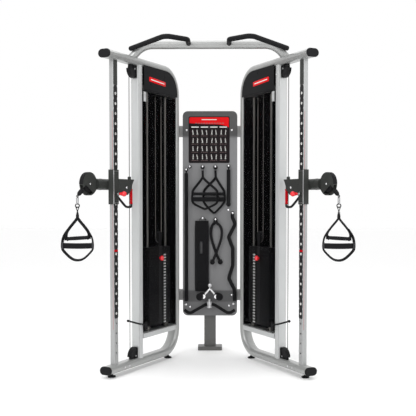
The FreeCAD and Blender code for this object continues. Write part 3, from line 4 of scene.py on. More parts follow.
import bmesh
import bpy
import numpy as np
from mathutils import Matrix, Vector


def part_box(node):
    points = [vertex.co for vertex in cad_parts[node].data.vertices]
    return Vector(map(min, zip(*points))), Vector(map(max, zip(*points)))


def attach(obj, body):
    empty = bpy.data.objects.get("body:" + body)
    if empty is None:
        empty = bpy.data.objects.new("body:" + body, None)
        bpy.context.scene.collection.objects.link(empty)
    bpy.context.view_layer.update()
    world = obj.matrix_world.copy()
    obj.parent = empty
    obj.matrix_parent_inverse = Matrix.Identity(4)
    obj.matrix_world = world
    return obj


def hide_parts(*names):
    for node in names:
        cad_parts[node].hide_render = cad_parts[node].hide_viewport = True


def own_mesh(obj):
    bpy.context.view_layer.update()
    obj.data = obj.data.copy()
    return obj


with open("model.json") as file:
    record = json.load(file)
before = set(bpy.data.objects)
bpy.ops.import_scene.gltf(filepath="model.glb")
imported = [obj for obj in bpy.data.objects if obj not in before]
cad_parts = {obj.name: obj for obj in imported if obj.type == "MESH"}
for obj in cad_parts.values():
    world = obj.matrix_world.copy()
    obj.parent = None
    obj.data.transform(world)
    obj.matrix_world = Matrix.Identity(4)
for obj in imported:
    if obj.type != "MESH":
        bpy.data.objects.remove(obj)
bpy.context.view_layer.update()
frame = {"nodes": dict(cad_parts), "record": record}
nodes = frame["nodes"]

# ---- layout, in metres

FEET_LINE = -0.4083       # y of the front feet
FEET_SPAN = 0.651         # half the distance between them
ANGLE = math.radians(27)  # a tower's plane against the front-to-back direction
SIDES = ("left", "right")
MIRROR = {"left": 1, "right": -1}
UP, RIGHT = Vector((0, 0, 1)), Vector((1, 0, 0))
FRONT, BACK = Vector((0, -1, 0)), Vector((0, 1, 0))

# in a tower's own frame: distances behind the front foot, towards the user and above the floor
COLUMN_AXIS, COLUMN_FACE = 0.034, 0.0175
HOLE_PITCH, FIRST_HOLE = 0.067, 0.159
OPEN_HOLES = range(4, 27)          # holes that the black strip surrounds, counted from the floor
STACK_FOOT, PLATE_PITCH = 0.2817, 0.0216
PLATES, PINNED_PLATES = 24, 2
AXLE_ALONG, AXLE_UP = 0.607, 0.9221  # the floating pulley's axle
TREAD, CABLE_RADIUS = 0.040, 0.0024
HEAD_HUB = (-0.168, -0.060, 1.295)
STRAP_PLACE = (-0.284, -0.060)     # the hanging handle's middle line
BOARD_FRONT = FEET_LINE + 0.955    # y of the board's face

# the photograph's camera
PICTURE = 416                      # pixels across
FOCAL_PIXELS, RISE_PIXELS = 780, 26
CAMERA_DISTANCE, CAMERA_HEIGHT, CAMERA_ASIDE = 5.2, 1.173, 0.0713


def tower(side, along, inward, up):
    """Point in a tower's own frame: behind its front foot, towards the user, above the floor."""
    x = -FEET_SPAN + along * math.sin(ANGLE) + inward * math.cos(ANGLE)
    y = FEET_LINE + along * math.cos(ANGLE) - inward * math.sin(ANGLE)
    return Vector((MIRROR[side] * x, y, up))


def tower_axes(side):
    """Unit vectors of a tower: rearward, towards the user, up."""
    m = MIRROR[side]
    return (Vector((m * math.sin(ANGLE), math.cos(ANGLE), 0)),
            Vector((m * math.cos(ANGLE), -math.sin(ANGLE), 0)), UP)


# ---- camera and light

def add_object(name, data):
    made = bpy.data.objects.new(name, data)
    bpy.context.scene.collection.objects.link(made)
    return made


def make_camera():
    data = bpy.data.cameras.new("camera")
    data.sensor_width = 36.0
    data.lens = data.sensor_width * FOCAL_PIXELS / PICTURE
    data.shift_y = RISE_PIXELS / PICTURE
    data.clip_end = 100
    camera = add_object("camera", data)
    camera.location = (CAMERA_ASIDE, FEET_LINE - CAMERA_DISTANCE, CAMERA_HEIGHT)
    camera.rotation_euler = (math.radians(90 - 2.3), 0, math.radians(0.81))
    bpy.context.scene.camera = camera


def area_light(name, place, target, size, power):
    data = bpy.data.lights.new(name, "AREA")
    data.shape = "RECTANGLE"
    data.size, data.size_y = size
    data.energy = power
    light = add_object(name, data)
    light.location = place
    light.rotation_euler = (Vector(target) - Vector(place)).to_track_quat("-Z", "Y").to_euler()


def make_stage():
    floor = bpy.data.meshes.new("floor")
    bm = bmesh.new()
    bmesh.ops.create_grid(bm, x_segments=2, y_segments=2, size=30)
    bm.to_mesh(floor)
    bm.free()
    material = bpy.data.materials.new("floor")
    material.use_nodes = True
    shader = material.node_tree.nodes["Principled BSDF"]
    shader.inputs["Base Color"].default_value = (0.985, 0.985, 0.985, 1)
    shader.inputs["Roughness"].default_value = 0.6
    floor.materials.append(material)
    add_object("floor", floor)
    world = bpy.data.worlds.new("studio")
    world.use_nodes = True
    glow = world.node_tree.nodes["Background"].inputs
    glow["Color"].default_value = (1, 1, 1, 1)
    glow["Strength"].default_value = 1.0
    bpy.context.scene.world = world
    area_light("key", (-2.2, -3.6, 3.6), (0, 0, 1.0), (2.5, 2.5), 70)
    area_light("fill", (3.0, -3.2, 2.6), (0, 0, 1.1), (2.5, 2.5), 35)
    area_light("top", (0, 0.4, 4.2), (0, 0, 0), (3, 3), 40)


make_camera()
make_stage()
bpy.context.scene.view_settings.view_transform = "Standard"

# ---- materials

def new_material(name):
    material = bpy.data.materials.new(name)
    material.use_nodes = True
    return material, material.node_tree, material.node_tree.nodes["Principled BSDF"]


def add_node(tree, kind, inputs=None, **settings):
    node = tree.nodes.new(kind)
    for key, setting in settings.items():
        setattr(node, key, setting)
    for key, given in (inputs or {}).items():
        if isinstance(given, bpy.types.NodeSocket):
            tree.links.new(given, node.inputs[key])
        else:
            node.inputs[key].default_value = given
    return node


def ramp(tree, source, stops):
    """Colour ramp over (position, colour) stops."""
    node = tree.nodes.new("ShaderNodeValToRGB")
    tree.links.new(source, node.inputs["Fac"])
    elements = node.color_ramp.elements
    while len(elements) < len(stops):
        elements.new(0.5)
    for element, (position, colour) in zip(elements, stops):
        element.position = position
        element.color = (*colour, 1) if len(colour) == 3 else colour
    return node.outputs["Color"]


def object_space(tree):
    return tree.nodes.new("ShaderNodeTexCoord").outputs["Object"]


def noise(tree, scale, detail, rough=0.6, vector=None):
    return add_node(tree, "ShaderNodeTexNoise",
                    {"Vector": vector or object_space(tree), "Scale": scale,
                     "Detail": detail, "Roughness": rough}).outputs["Fac"]


def math_node(tree, operation, a, b):
    return add_node(tree, "ShaderNodeMath", {0: a, 1: b}, operation=operation).outputs[0]


def bump(tree, shader, height, strength, distance):
    node = add_node(tree, "ShaderNodeBump",
                    {"Height": height, "Strength": strength, "Distance": distance})
    tree.links.new(node.outputs["Normal"], shader.inputs["Normal"])


def shades(colour, start, low, end, high):
    """Stops from a darker to a lighter tone of one colour."""
    return [(at, tuple(min(1.0, c * tone) for c in colour)) for at, tone in ((start, low), (end, high))]


def finish(tree, shader, tone, stops, levels):
    """Colour over a tone map, and plain values on the shader's own sockets."""
    tree.links.new(ramp(tree, tone, stops), shader.inputs["Base Color"])
    for socket, level in levels.items():
        shader.inputs[socket].default_value = level


def uneven(tree, shader, pattern, low, high):
    """Roughness that follows a pattern."""
    spread = add_node(tree, "ShaderNodeMapRange",
                      {"Value": pattern, "From Min": 0.3, "From Max": 0.7,
                       "To Min": low, "To Max": high})
    tree.links.new(spread.outputs["Result"], shader.inputs["Roughness"])


def coated_metal(name, colour, rough=0.38, metallic=0.0, coat=0.25, gloss=0.5):
    """Powder or lacquer coat: fine orange peel, faint mottling and uneven sheen."""
    material, tree, shader = new_material(name)
    fine, broad = noise(tree, 900, 3), noise(tree, 6, 5)
    tone = math_node(tree, "MULTIPLY", math_node(tree, "ADD", fine, broad), 0.5)
    finish(tree, shader, tone, shades(colour, 0.3, 0.96, 0.7, 1.04),
           {"Metallic": metallic, "Specular IOR Level": gloss, "Coat Weight": coat,
            "Coat Roughness": 0.2})
    uneven(tree, shader, broad, rough * 0.85, rough * 1.2)
    bump(tree, shader, fine, 0.12, 0.0004)
    return material


def bare_metal(name, colour, rough=0.18, brush=False):
    """Polished or brushed steel with faint scratches."""
    material, tree, shader = new_material(name)
    if brush:
        stretch = add_node(tree, "ShaderNodeMapping", {"Vector": object_space(tree),
                                                       "Scale": (40, 40, 900)})
        lines = noise(tree, 3, 6, 0.7, stretch.outputs["Vector"])
    else:
        lines = noise(tree, 160, 5, 0.65)
    finish(tree, shader, lines, shades(colour, 0.35, 0.9, 0.65, 1.05), {"Metallic": 1.0})
    uneven(tree, shader, lines, rough * 0.7, rough * 1.5)
    bump(tree, shader, lines, 0.05, 0.0002)
    return material


def moulded(name, colour, rough=0.5, grain=1400, strength=0.25, coat=0.0, spread=0.12,
            gloss=0.5):
    """Moulded plastic or rubber: leathery grain and slight unevenness of tone."""
    material, tree, shader = new_material(name)
    fine = add_node(tree, "ShaderNodeTexVoronoi", {"Vector": object_space(tree), "Scale": grain})
    broad = noise(tree, 14, 4)
    finish(tree, shader, broad, shades(colour, 0.3, 1 - spread, 0.7, 1 + spread),
           {"Specular IOR Level": gloss, "Coat Weight": coat, "Coat Roughness": 0.15})
    uneven(tree, shader, broad, rough * 0.88, min(1, rough * 1.15))
    bump(tree, shader, fine.outputs["Distance"], strength, 0.0003)
    return material


def waves(tree, vector, scale, distortion, axis, detail=2.0):
    return add_node(tree, "ShaderNodeTexWave",
                    {"Vector": vector, "Scale": scale, "Distortion": distortion,
                     "Detail": detail}, bands_direction=axis).outputs["Fac"]


def fabric(name, colour, sheen):
    """Woven webbing with a 1.6 mm pitch: two crossed bands of waves for warp and weft."""
    material, tree, shader = new_material(name)
    space = object_space(tree)
    bands = [waves(tree, space, 0.314 / 0.0016, 0.6, axis, 1.0) for axis in ("X", "Z")]
    weave = math_node(tree, "MULTIPLY", *bands)
    finish(tree, shader, weave, shades(colour, 0.0, 0.8, 1.0, 1.6),
           {"Specular IOR Level": 0.15, "Roughness": 0.82, "Sheen Weight": sheen,
            "Sheen Roughness": 0.5})
    bump(tree, shader, weave, 0.5, 0.0006)
    return material


def braided(name, colour):
    """Braided rope: two sets of slanting strands, one over the other."""
    material, tree, shader = new_material(name)
    space = object_space(tree)
    strands = [waves(tree, add_node(tree, "ShaderNodeMapping",
                                    {"Vector": space, "Rotation": (0, tilt, 0)}).outputs["Vector"],
                     60, 0.8, "X") for tilt in (0.9, -0.9)]
    braid = math_node(tree, "MAXIMUM", *strands)
    finish(tree, shader, braid, shades(colour, 0.2, 0.5, 0.9, 1.6),
           {"Specular IOR Level": 0.15, "Roughness": 0.75})
    bump(tree, shader, braid, 0.7, 0.0012)
    return material


def darken_by_height(material, low, high, stops):
    """Darkens a material by height: stops are (share of the way from low to high, tone)."""
    tree = material.node_tree
    shader = tree.nodes["Principled BSDF"]
    plain = shader.inputs["Base Color"].links[0].from_socket
    height = add_node(tree, "ShaderNodeSeparateXYZ", {"Vector": object_space(tree)}).outputs["Z"]
    level = add_node(tree, "ShaderNodeMapRange", {"Value": height, "From Min": low, "From Max": high})
    tone = ramp(tree, level.outputs["Result"], [(at, (grey,) * 3) for at, grey in stops])
    mixed = add_node(tree, "ShaderNodeMix", {"Factor": 1.0}, data_type="RGBA", blend_type="MULTIPLY")
    for socket, source in zip([k for k in mixed.inputs if k.type == "RGBA"], (plain, tone)):
        tree.links.new(source, socket)
    tree.links.new([k for k in mixed.outputs if k.type == "RGBA"][0], shader.inputs["Base Color"])
    return material


MATERIALS = {
    "frame_silver": coated_metal("frame_silver", (0.37, 0.375, 0.37), 0.34, 0.45, gloss=0.4),
    "column_silver": coated_metal("column_silver", (0.36, 0.365, 0.365), 0.36, 0.35),
    "upright_pale": coated_metal("upright_pale", (0.50, 0.51, 0.51), 0.34, 0.2),
    "arm_charcoal": coated_metal("arm_charcoal", (0.030, 0.032, 0.030), 0.45, coat=0.0, gloss=0.25),
    "black_plastic": moulded("black_plastic", (0.009, 0.009, 0.010), 0.5, gloss=0.12),
    "smoked_sheet": moulded("smoked_sheet", (0.003, 0.003, 0.003), 0.3, 200, 0.02, gloss=0.02),
    "cover_black": moulded("cover_black", (0.009, 0.009, 0.010), 0.3, 300, 0.03, gloss=0.04),
    "chrome": bare_metal("chrome", (0.82, 0.82, 0.83), 0.12),
    "steel": bare_metal("steel", (0.62, 0.62, 0.63), 0.3, brush=True),
    "black_rubber": moulded("black_rubber", (0.008, 0.008, 0.009), 0.62, 900, 0.35, gloss=0.12),
    "cast_plate": moulded("cast_plate", (0.008, 0.008, 0.009), 0.5, 700, 0.3, gloss=0.15),
    "red_knob": moulded("red_knob", (0.72, 0.012, 0.02), 0.25, 600, 0.05, coat=0.2, spread=0.06),
    "red_grip": moulded("red_grip", (0.40, 0.002, 0.006), 0.55, 800, 0.3, spread=0.08, gloss=0.06),
    "black_cable": moulded("black_cable", (0.009, 0.009, 0.009), 0.4, 900, 0.1, gloss=0.15),
    "webbing": fabric("webbing", (0.007, 0.007, 0.008), sheen=0.04),
    "board_grey": coated_metal("board_grey", (0.215, 0.215, 0.22), 0.5, coat=0.1, gloss=0.35),
    "placard": moulded("placard", (0.012, 0.009, 0.010), 0.4, 300, 0.02, spread=0.1, gloss=0.08),
    "post_grey": coated_metal("post_grey", (0.10, 0.10, 0.097), 0.45, gloss=0.35),
    "crossmember_grey": coated_metal("crossmember_grey", (0.25, 0.25, 0.25), 0.42, 0.1),
}
SMOKED = moulded("smoked_clear", (0.003, 0.003, 0.004), 0.42, 200, 0.02, gloss=0.04)
SMOKED.node_tree.nodes["Principled BSDF"].inputs["Alpha"].default_value = 0.22
SMOKED.surface_render_method = "BLENDED"
MARK_WHITE = moulded("mark_white", (0.74, 0.74, 0.72), 0.45, 500, 0.05, spread=0.05)
LABEL_WHITE_GLOW = moulded("label_white_glow", (0.97, 0.97, 0.96), 0.5, 500, 0.03, spread=0.02)
# painted light: a faint glow keeps the plate labels bright behind the smoked sheet
label = LABEL_WHITE_GLOW.node_tree.nodes["Principled BSDF"].inputs
label["Emission Color"].default_value = (0.9, 0.9, 0.88, 1)
label["Emission Strength"].default_value = 0.16  # bright behind the smoked sheet
# painted highlight: lighter than the black cable, standing in for the bright lines where the cable runs
# catch the light inside the shroud
CABLE_HIGHLIGHT_GREY = moulded("cable_painted_highlight", (0.20, 0.19, 0.18), 0.35, 900, 0.1, gloss=0.5)
SHEET_BLACK = moulded("sheet_black", (0.003, 0.003, 0.003), 0.75, 200, 0.02, gloss=0.0)
PRINT_RED = moulded("print_red", (0.72, 0.005, 0.008), 0.4, 400, 0.03, spread=0.06, gloss=0.1)
MARK_DIM = moulded("mark_dim", (0.22, 0.15, 0.15), 0.45, 500, 0.05, spread=0.05, gloss=0.1)
HOOK_STEEL = bare_metal("hook_steel", (0.40, 0.40, 0.41), 0.25)
STRIP_BLACK = moulded("strip_black", (0.012, 0.012, 0.013), 0.4, 700, 0.08, gloss=0.25)
THREAD = fabric("thread", (0.05, 0.05, 0.054), sheen=0.05)

ROPE_BLACK = braided("rope_black", (0.008, 0.008, 0.009))
ROD_STEEL = bare_metal("rod_steel", (0.27, 0.26, 0.245), 0.3, brush=True)
# cross rails of the stacks: pale at the foot, with painted shade, near black, where they sit under the
# covers
RAIL_WITH_PAINTED_SHADE = darken_by_height(coated_metal("rail_pale_painted_shade", (0.50, 0.51, 0.51), 0.34, 0.2), 0, 1,
                   [(0.0, 1), (0.98, 1), (1.0, 0.03)])
# the board is darker over its head and where the lower crossmember lies behind it
darken_by_height(MATERIALS["board_grey"], 0.2, 1.9,
       [(0.0, 0.75), (0.108, 0.8), (0.114, 0.42), (0.160, 0.42), (0.168, 1), (0.870, 1),
        (0.882, 0.36), (1, 0.33)])

SLOT_OF = {part["node"]: part["material_slot"] for part in frame["record"]["subparts"]}
for name, node in nodes.items():
    node.data.materials.clear()
    node.data.materials.append(MATERIALS[SLOT_OF[name]])
nodes["stack_rails"].data.materials[0] = RAIL_WITH_PAINTED_SHADE
nodes["guide_rods"].data.materials[0] = ROD_STEEL


# ---- mesh helpers

def circle(radius, count=12):
    turns = [2 * math.pi * i / count for i in range(count)]
    return [(radius * math.cos(t), radius * math.sin(t)) for t in turns]


def webbing_section(width, thick):
    """Flat section with soft selvedges and a slightly crowned middle, as (across, through) pairs."""
    a, t = width / 2, thick / 2
    half = [(-a, -0.3 * t), (-a + t, -0.9 * t), (-a / 2, -t), (a / 2, -t), (a - t, -0.9 * t),
            (a, -0.3 * t)]
    return half + [(x, -y) for x, y in reversed(half)]


def rounded(start, corner, end, per):
    """Points from start towards end on the curve that a corner pulls."""
    return [start * (1 - t) ** 2 + corner * 2 * t * (1 - t) + end * t * t
            for t in [k / per for k in range(per)]]


def soft_line(points, per=8):
    """Points along the smooth line that hangs inside a chain of corners."""
    last, line = len(points) - 1, []
    for i in range(1, last):
        a = points[0] if i == 1 else (points[i - 1] + points[i]) / 2
        b = points[last] if i == last - 1 else (points[i] + points[i + 1]) / 2
        line += rounded(a, points[i], b, per)
    return line + [points[last]]


def skin(bm, rings, closed=False):
    """Skin over rings of points, capped at both ends unless the last ring joins the first."""
    rows = [[bm.verts.new(p) for p in ring] for ring in rings]
    count = len(rows[0])
    pairs = list(zip(rows, rows[1:])) + ([(rows[-1], rows[0])] if closed else [])
    for a, b in pairs:
        for i in range(count):
            j = (i + 1) % count
            bm.faces.new((a[i], a[j], b[j], b[i]))
    if not closed:
        bm.faces.new(rows[0])
        bm.faces.new(rows[-1])


def sweep(bm, line, section, across, closed=False):
    """Carries a section along a line; across is the direction of its first axis, or one per point."""
    rings, count = [], len(line)
    for i, point in enumerate(line):
        before = line[(i - 1) % count] if closed or i else line[0]
        after = line[(i + 1) % count] if closed or i < count - 1 else line[-1]
        way = (after - before).normalized()
        lead = Vector(across[i] if isinstance(across, list) else across)
        side = (lead - way * lead.dot(way)).normalized()
        through = way.cross(side)
        rings.append([point + side * x + through * y for x, y in section])
    skin(bm, rings, closed)


def leaning(line, angle):
    """Directions across a strap that shows part of its face along the whole line."""
    found = []
    for i in range(len(line)):
        way = (line[min(i + 1, len(line) - 1)] - line[max(i - 1, 0)]).normalized()
        found.append(BACK * math.cos(angle) + way.cross(BACK) * math.sin(angle))
    return found


def around(axis, count):
    """Unit vectors round an axis, evenly spaced."""
    lead = UP if abs(axis.z) < 0.9 else RIGHT
    a = (lead - axis * lead.dot(axis)).normalized()
    b = axis.cross(a)
    return [a * math.cos(2 * math.pi * i / count) + b * math.sin(2 * math.pi * i / count)
            for i in range(count)]


def ring(bm, centre, major, minor):
    """Round wire ring that faces the user."""
    sweep(bm, [centre + way * major for way in around(BACK, 32)], circle(minor, 10), BACK,
          closed=True)


def lathe(bm, profile, centre, axis, count=28):
    """Turned shape; profile is (radius, height) pairs from one end of the axis to the other."""
    axis = axis.normalized()
    spokes = around(axis, count)
    skin(bm, [[centre + axis * h + way * max(r, 1e-5) for way in spokes] for r, h in profile])


def block(bm, centre, axes, size, bevel=0.0, segments=2):
    """Box with rounded edges; axes are three unit vectors and size the length along each."""
    made = bmesh.ops.create_cube(bm, size=1.0)["verts"]
    for v in made:
        v.co = centre + sum((axes[i] * v.co[i] * size[i] for i in range(3)), Vector())
    if bevel:
        edges = list({e for v in made for e in v.link_edges})
        bmesh.ops.bevel(bm, geom=edges, offset=bevel, segments=segments, affect="EDGES",
                        profile=0.5)


def piece(name, bm, material, body, slot=None, replaces=(), sharp=40):
    """Object from a bmesh; a material may also be given by its slot's name."""
    if isinstance(material, str):
        slot, material = slot or material, MATERIALS[material]
    bmesh.ops.recalc_face_normals(bm, faces=bm.faces)
    mesh = bpy.data.meshes.new(name)
    bm.to_mesh(mesh)
    bm.free()
    mesh.shade_smooth()
    mesh.set_sharp_from_angle(angle=math.radians(sharp))
    mesh.materials.append(material)
    made = add_object(name, mesh)
    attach(made, body)
    if replaces:
        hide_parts(*replaces)
    return made


# ---- columns

def column_scale(side):
    """Black strip over the column's inner face, open round each hole, a charcoal sheet of painted shade
    above it, and the trim beside it.
    """
    thick, half, hole, top = 0.00032, 0.0225, 0.0088, 1.957
    axes = tower_axes(side)
    strip, bushes, trim, shade_liner = (bmesh.new() for _ in range(4))
    for k in OPEN_HOLES:
        middle = FIRST_HOLE + k * HOLE_PITCH
        low, high = middle - HOLE_PITCH / 2, middle + HOLE_PITCH / 2
        if k == OPEN_HOLES[-1]:
            high = top
        outer, inner = [], []
        for x, z in circle(1, 24):
            reach = high - middle if z > 0 else middle - low
            stretch = min(half / max(abs(x), 1e-9), reach / max(abs(z), 1e-9))
            outer.append((x * stretch, middle + z * stretch))
            inner.append((x * hole, middle + z * hole))
        skin(strip, [[tower(side, COLUMN_AXIS + x, COLUMN_FACE + level, z) for x, z in outline]
                     for outline, level in ((outer, 0.00004), (outer, thick), (inner, thick),
                                            (inner, 0.00004))], closed=True)
        lathe(bushes, [(0.0061, -0.0010), (0.0061, 0.0008), (0.0066, 0.0012), (0.0080, 0.0012),
                       (0.0086, 0.0008), (0.0087, 0.0001), (0.0061, -0.0010)],
              tower(side, COLUMN_AXIS, COLUMN_FACE, middle), axes[1], 20)
    # painted shade: a charcoal sheet over the top of the column's inner face, where the silver face lies
    # in shade
    block(shade_liner, tower(side, COLUMN_AXIS, COLUMN_FACE + thick / 2, 2.0405), axes,
          (2 * half, thick, 0.165), 0.0001, 1)
    block(trim, tower(side, COLUMN_AXIS, COLUMN_FACE + thick, 0.850), axes,
          (2 * half, 0.0001, 0.014))
    block(trim, tower(side, 0.0100, 0.0085, 1.05), axes, (0.0004, 0.0016, 1.46))
    piece(side + "_column_scale", strip, STRIP_BLACK, "frame", "black_plastic")
    piece(side + "_hole_bushes", bushes, MARK_WHITE, "frame", "upright_pale")
    piece(side + "_column_liner", shade_liner, "arm_charcoal", "frame")
    piece(side + "_column_stripe", trim, "red_grip", "frame")


# ---- towers

def shroud(side):
    """Smoked sheet with the pin slot towards the user, black sheet on the other side."""
    inner, outer = bmesh.new(), bmesh.new()
    edge, slot = [[(u0, z0), (u1, z0), (u1, z1), (u0, z1)] for u0, u1, z0, z1 in
                  ((0.348, 0.806, 0.244, 1.962), (0.553, 0.601, STACK_FOOT, 1.873))]
    skin(inner, [[tower(side, u, level, z) for u, z in outline] for outline, level in
                 ((edge, 0.0345), (edge, 0.0375), (slot, 0.0375), (slot, 0.0345))], closed=True)
    piece(side + "_shroud_inner", inner, SMOKED, "frame", "smoked_sheet",
          ("shroud_panels",) if side == "left" else ())
    block(outer, tower(side, 0.577, -0.036, 1.103), tower_axes(side), (0.458, 0.003, 1.718), 0.0008)
    piece(side + "_shroud_outer", outer, SHEET_BLACK, "frame", "smoked_sheet")


def rear_shade_strip(side):
    """Painted shade: a black strip with shallow flutes over the hoop, inside the shroud, where shade
    falls.
    """
    bm = bmesh.new()
    half, flutes = 0.0335, 14
    outline = [(0.7996, -half), (0.7996, half)]
    for i in range(flutes):
        across = half - 2 * half * (i + 0.5) / flutes
        outline += [(0.7966, across + 0.0016), (0.7958, across), (0.7966, across - 0.0016)]
    skin(bm, [[tower(side, u, w, z) for u, w in outline] for z in (0.253, 1.952)])
    piece(side + "_rear_shade_strip", bm, SHEET_BLACK, "frame", "black_plastic")


def badge(side):
    """Plain red trim bar with round corners and a pale line, on the top cover."""
    rear, user, up = tower_axes(side)
    centre = tower(side, 0.5275, 0.0445, 2.042)
    lean = rear * math.cos(0.05) - up * math.sin(0.05)
    rise = user.cross(lean) * MIRROR[side]
    for name, long, tall, low, high, material, slot in (
            ("_badge", 0.112, 0.0165, 0, 0.002, PRINT_RED, "red_knob"),
            ("_badge_face", 0.092, 0.0035, 0.0018, 0.0026, MARK_WHITE, "upright_pale")):
        corner, outline = tall * 0.45, []
        for turn, along, across in ((0, 1, 1), (1, -1, 1), (2, -1, -1), (3, 1, -1)):
            for t in [math.pi / 2 * (turn + i / 6) for i in range(7)]:
                outline.append((along * (long - corner) + corner * math.cos(t),
                                across * (tall - corner) + corner * math.sin(t)))
        bm = bmesh.new()
        skin(bm, [[centre + user * level + (lean * x + rise * y) * k for x, y in outline]
                  for level, k in ((low, 1), (high * 0.7, 1), (high, 0.985))])
        piece(side + name, bm, material, "frame", slot)


def hex_bolt(bm, centre, axis, radius, height):
    """Domed head with a socket."""
    lathe(bm, [(radius, 0), (radius, height * 0.45), (radius * 0.86, height * 0.8),
               (radius * 0.6, height), (radius * 0.45, height), (radius * 0.42, height * 0.45),
               (0, height * 0.4)], centre, axis, 24)


def shroud_bracket(side):
    """Small plate with two screws between the upright and the top of the sheet."""
    axes = tower_axes(side)
    plate, screws = bmesh.new(), bmesh.new()
    block(plate, tower(side, 0.366, 0.0386, 1.918), axes, (0.030, 0.0020, 0.068), 0.0009)
    for level in (1.901, 1.935):
        hex_bolt(screws, tower(side, 0.368, 0.0396, level), axes[1], 0.0062, 0.004)
    piece(side + "_shroud_bracket", plate, "upright_pale", "frame")
    piece(side + "_bracket_screws", screws, "steel", "frame")


def stack_marks(side):
    """Pale label on the edge of every weight plate, with a faint painted glow."""
    axes, resting = tower_axes(side), PLATES - PINNED_PLATES
    for name, body, plates in (("_stack_marks", "frame", range(resting)),
                               ("_lifted_marks", side + "_lift", range(resting, PLATES))):
        bm = bmesh.new()
        for i in plates:
            level = STACK_FOOT + PLATE_PITCH * i + 0.0106
            block(bm, tower(side, 0.645, 0.03118, level), axes, (0.030, 0.0004, 0.0100), 0.0001)
        piece(side + name, bm, LABEL_WHITE_GLOW, body, "upright_pale")


def stack_cable(side):
    """Cable under the floating pulley, and its two runs, which get shorter as the stack rises; their
    grey is a painted highlight.
    """
    user = tower_axes(side)[1]
    wrap, runs = bmesh.new(), bmesh.new()
    section = circle(CABLE_RADIUS, 10)
    half_turn = [math.pi * i / 24 for i in range(25)]
    sweep(wrap, [tower(side, AXLE_ALONG - TREAD * math.cos(t), 0, AXLE_UP - TREAD * math.sin(t))
                 for t in half_turn], section, user)
    piece(side + "_floating_wrap", wrap, CABLE_HIGHLIGHT_GREY, side + "_lift", "black_cable")
    low, high = (corner[2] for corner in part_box(side + "_stack_cable"))
    for u in (AXLE_ALONG - TREAD, AXLE_ALONG + TREAD):
        sweep(runs, [tower(side, u, 0, z) for z in (low, (low + high) / 2, high)], section, user)
    made = piece(side + "_stack_runs", runs, CABLE_HIGHLIGHT_GREY, "frame", "black_cable",
                 (side + "_stack_cable",))
    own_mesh(made)


# ---- carriage and arm

def carriage_details(side):
    """Sleeve of the pull pin, screw on the plate, the slider's bright edges, the long upright one a
    painted highlight, and the handle's rod.
    """
    axes = tower_axes(side)
    user = axes[1]
    bm = bmesh.new()
    lathe(bm, [(0.0062, 0), (0.0078, 0.0005), (0.0078, 0.006), (0.0068, 0.007), (0.0068, 0.0185),
               (0.0062, 0.019)], tower(side, COLUMN_AXIS, 0.0312, 1.231), user)
    piece(side + "_pin_sleeve", bm, "chrome", side + "_pull_pin")
    bm = bmesh.new()
    hex_bolt(bm, tower(side, 0.155, 0.0235, 1.275), user, 0.0085, 0.0062)
    piece(side + "_plate_screw", bm, "chrome", side + "_carriage")
    bm = bmesh.new()
    for level in (1.172, 1.384):
        block(bm, tower(side, 0.0350, 0.0236, level), axes, (0.052, 0.0006, 0.003), 0.0002)
    # painted highlight: a thin steel strip down the sleeve's front corner, where its rounded edge
    # catches the light
    block(bm, tower(side, 0.0035, 0.0224, 1.278), axes, (0.0024, 0.0024, 0.224), 0.0008)
    piece(side + "_sleeve_edges_and_highlight", bm, "steel", side + "_carriage")
    bm = bmesh.new()
    rod = soft_line([tower(side, u, 0.013, z) for u, z in
                     ((0.064, 1.210), (0.112, 1.177), (0.160, 1.144), (0.193, 1.1425),
                      (0.226, 1.144), (0.2275, 1.154), (0.2275, 1.166))])
    sweep(bm, rod, circle(0.0082, 14), user)
    piece(side + "_latch_rod", bm, "black_plastic", side + "_carriage")


def head_details(side):
    """Black band round the head, its hub screw, and the cable where it leaves the wheel."""
    rear, user, up = tower_axes(side)
    hub = tower(side, *HEAD_HUB)

    def arc(first, last, step, radius):
        turns = [math.radians(a) for a in range(first, last, step)]
        return [hub + (rear * math.cos(t) + up * math.sin(t)) * radius for t in turns]

    bm = bmesh.new()
    sweep(bm, arc(-38, 187, 5, 0.0753),
          [(-0.0155, -0.0004), (0.0155, -0.0004), (0.0155, 0.0012), (0.0125, 0.0020),
           (-0.0125, 0.0020), (-0.0155, 0.0012)], user)
    piece(side + "_head_band", bm, "black_rubber", side + "_arm")
    bm = bmesh.new()
    hex_bolt(bm, hub + user * 0.0168, user, 0.0068, 0.004)
    piece(side + "_hub_screw", bm, "chrome", side + "_arm")
    bm = bmesh.new()
    line = arc(90, 193, 6, 0.050) + [tower(side, -0.235, HEAD_HUB[1], 1.254)]
    sweep(bm, line, circle(CABLE_RADIUS, 10), user)
    piece(side + "_head_cable", bm, "black_cable", side + "_arm")


# ---- hand straps

def snap_hook(side):
    """Snap hook with its gate and swivel, and the ring that the webbing hangs from."""
    spot = tower(side, *STRAP_PLACE, 0)
    rear, user, up = tower_axes(side)
    bm = bmesh.new()
    corners = [(0.0085, 1.172), (0.0085, 1.205), (0.0045, 1.2115), (-0.0045, 1.2115),
               (-0.0080, 1.205), (-0.0080, 1.172), (-0.0045, 1.1625), (0.0045, 1.1625)]
    points = [spot + rear * x + up * z for x, z in corners]
    line = []
    for i, corner in enumerate(points):
        after = points[(i + 1) % len(points)]
        line += rounded((points[i - 1] + corner) / 2, corner, (corner + after) / 2, 5)
    sweep(bm, line, circle(0.0034, 10), user, closed=True)
    lathe(bm, [(0.0018, -0.014), (0.0036, -0.013), (0.0036, -0.003), (0.0042, 0), (0.0036, 0.003),
               (0.0036, 0.013), (0.0018, 0.014)], spot + rear * -0.0078 + up * 1.187, up, 16)
    piece(side + "_hook", bm, HOOK_STEEL, side + "_handle", "chrome",
          (side + "_snap_hook",))
    bm = bmesh.new()
    ring(bm, spot + up * 1.1535, 0.0125, 0.0034)
    piece(side + "_hook_ring", bm, "black_plastic", side + "_handle", "chrome")


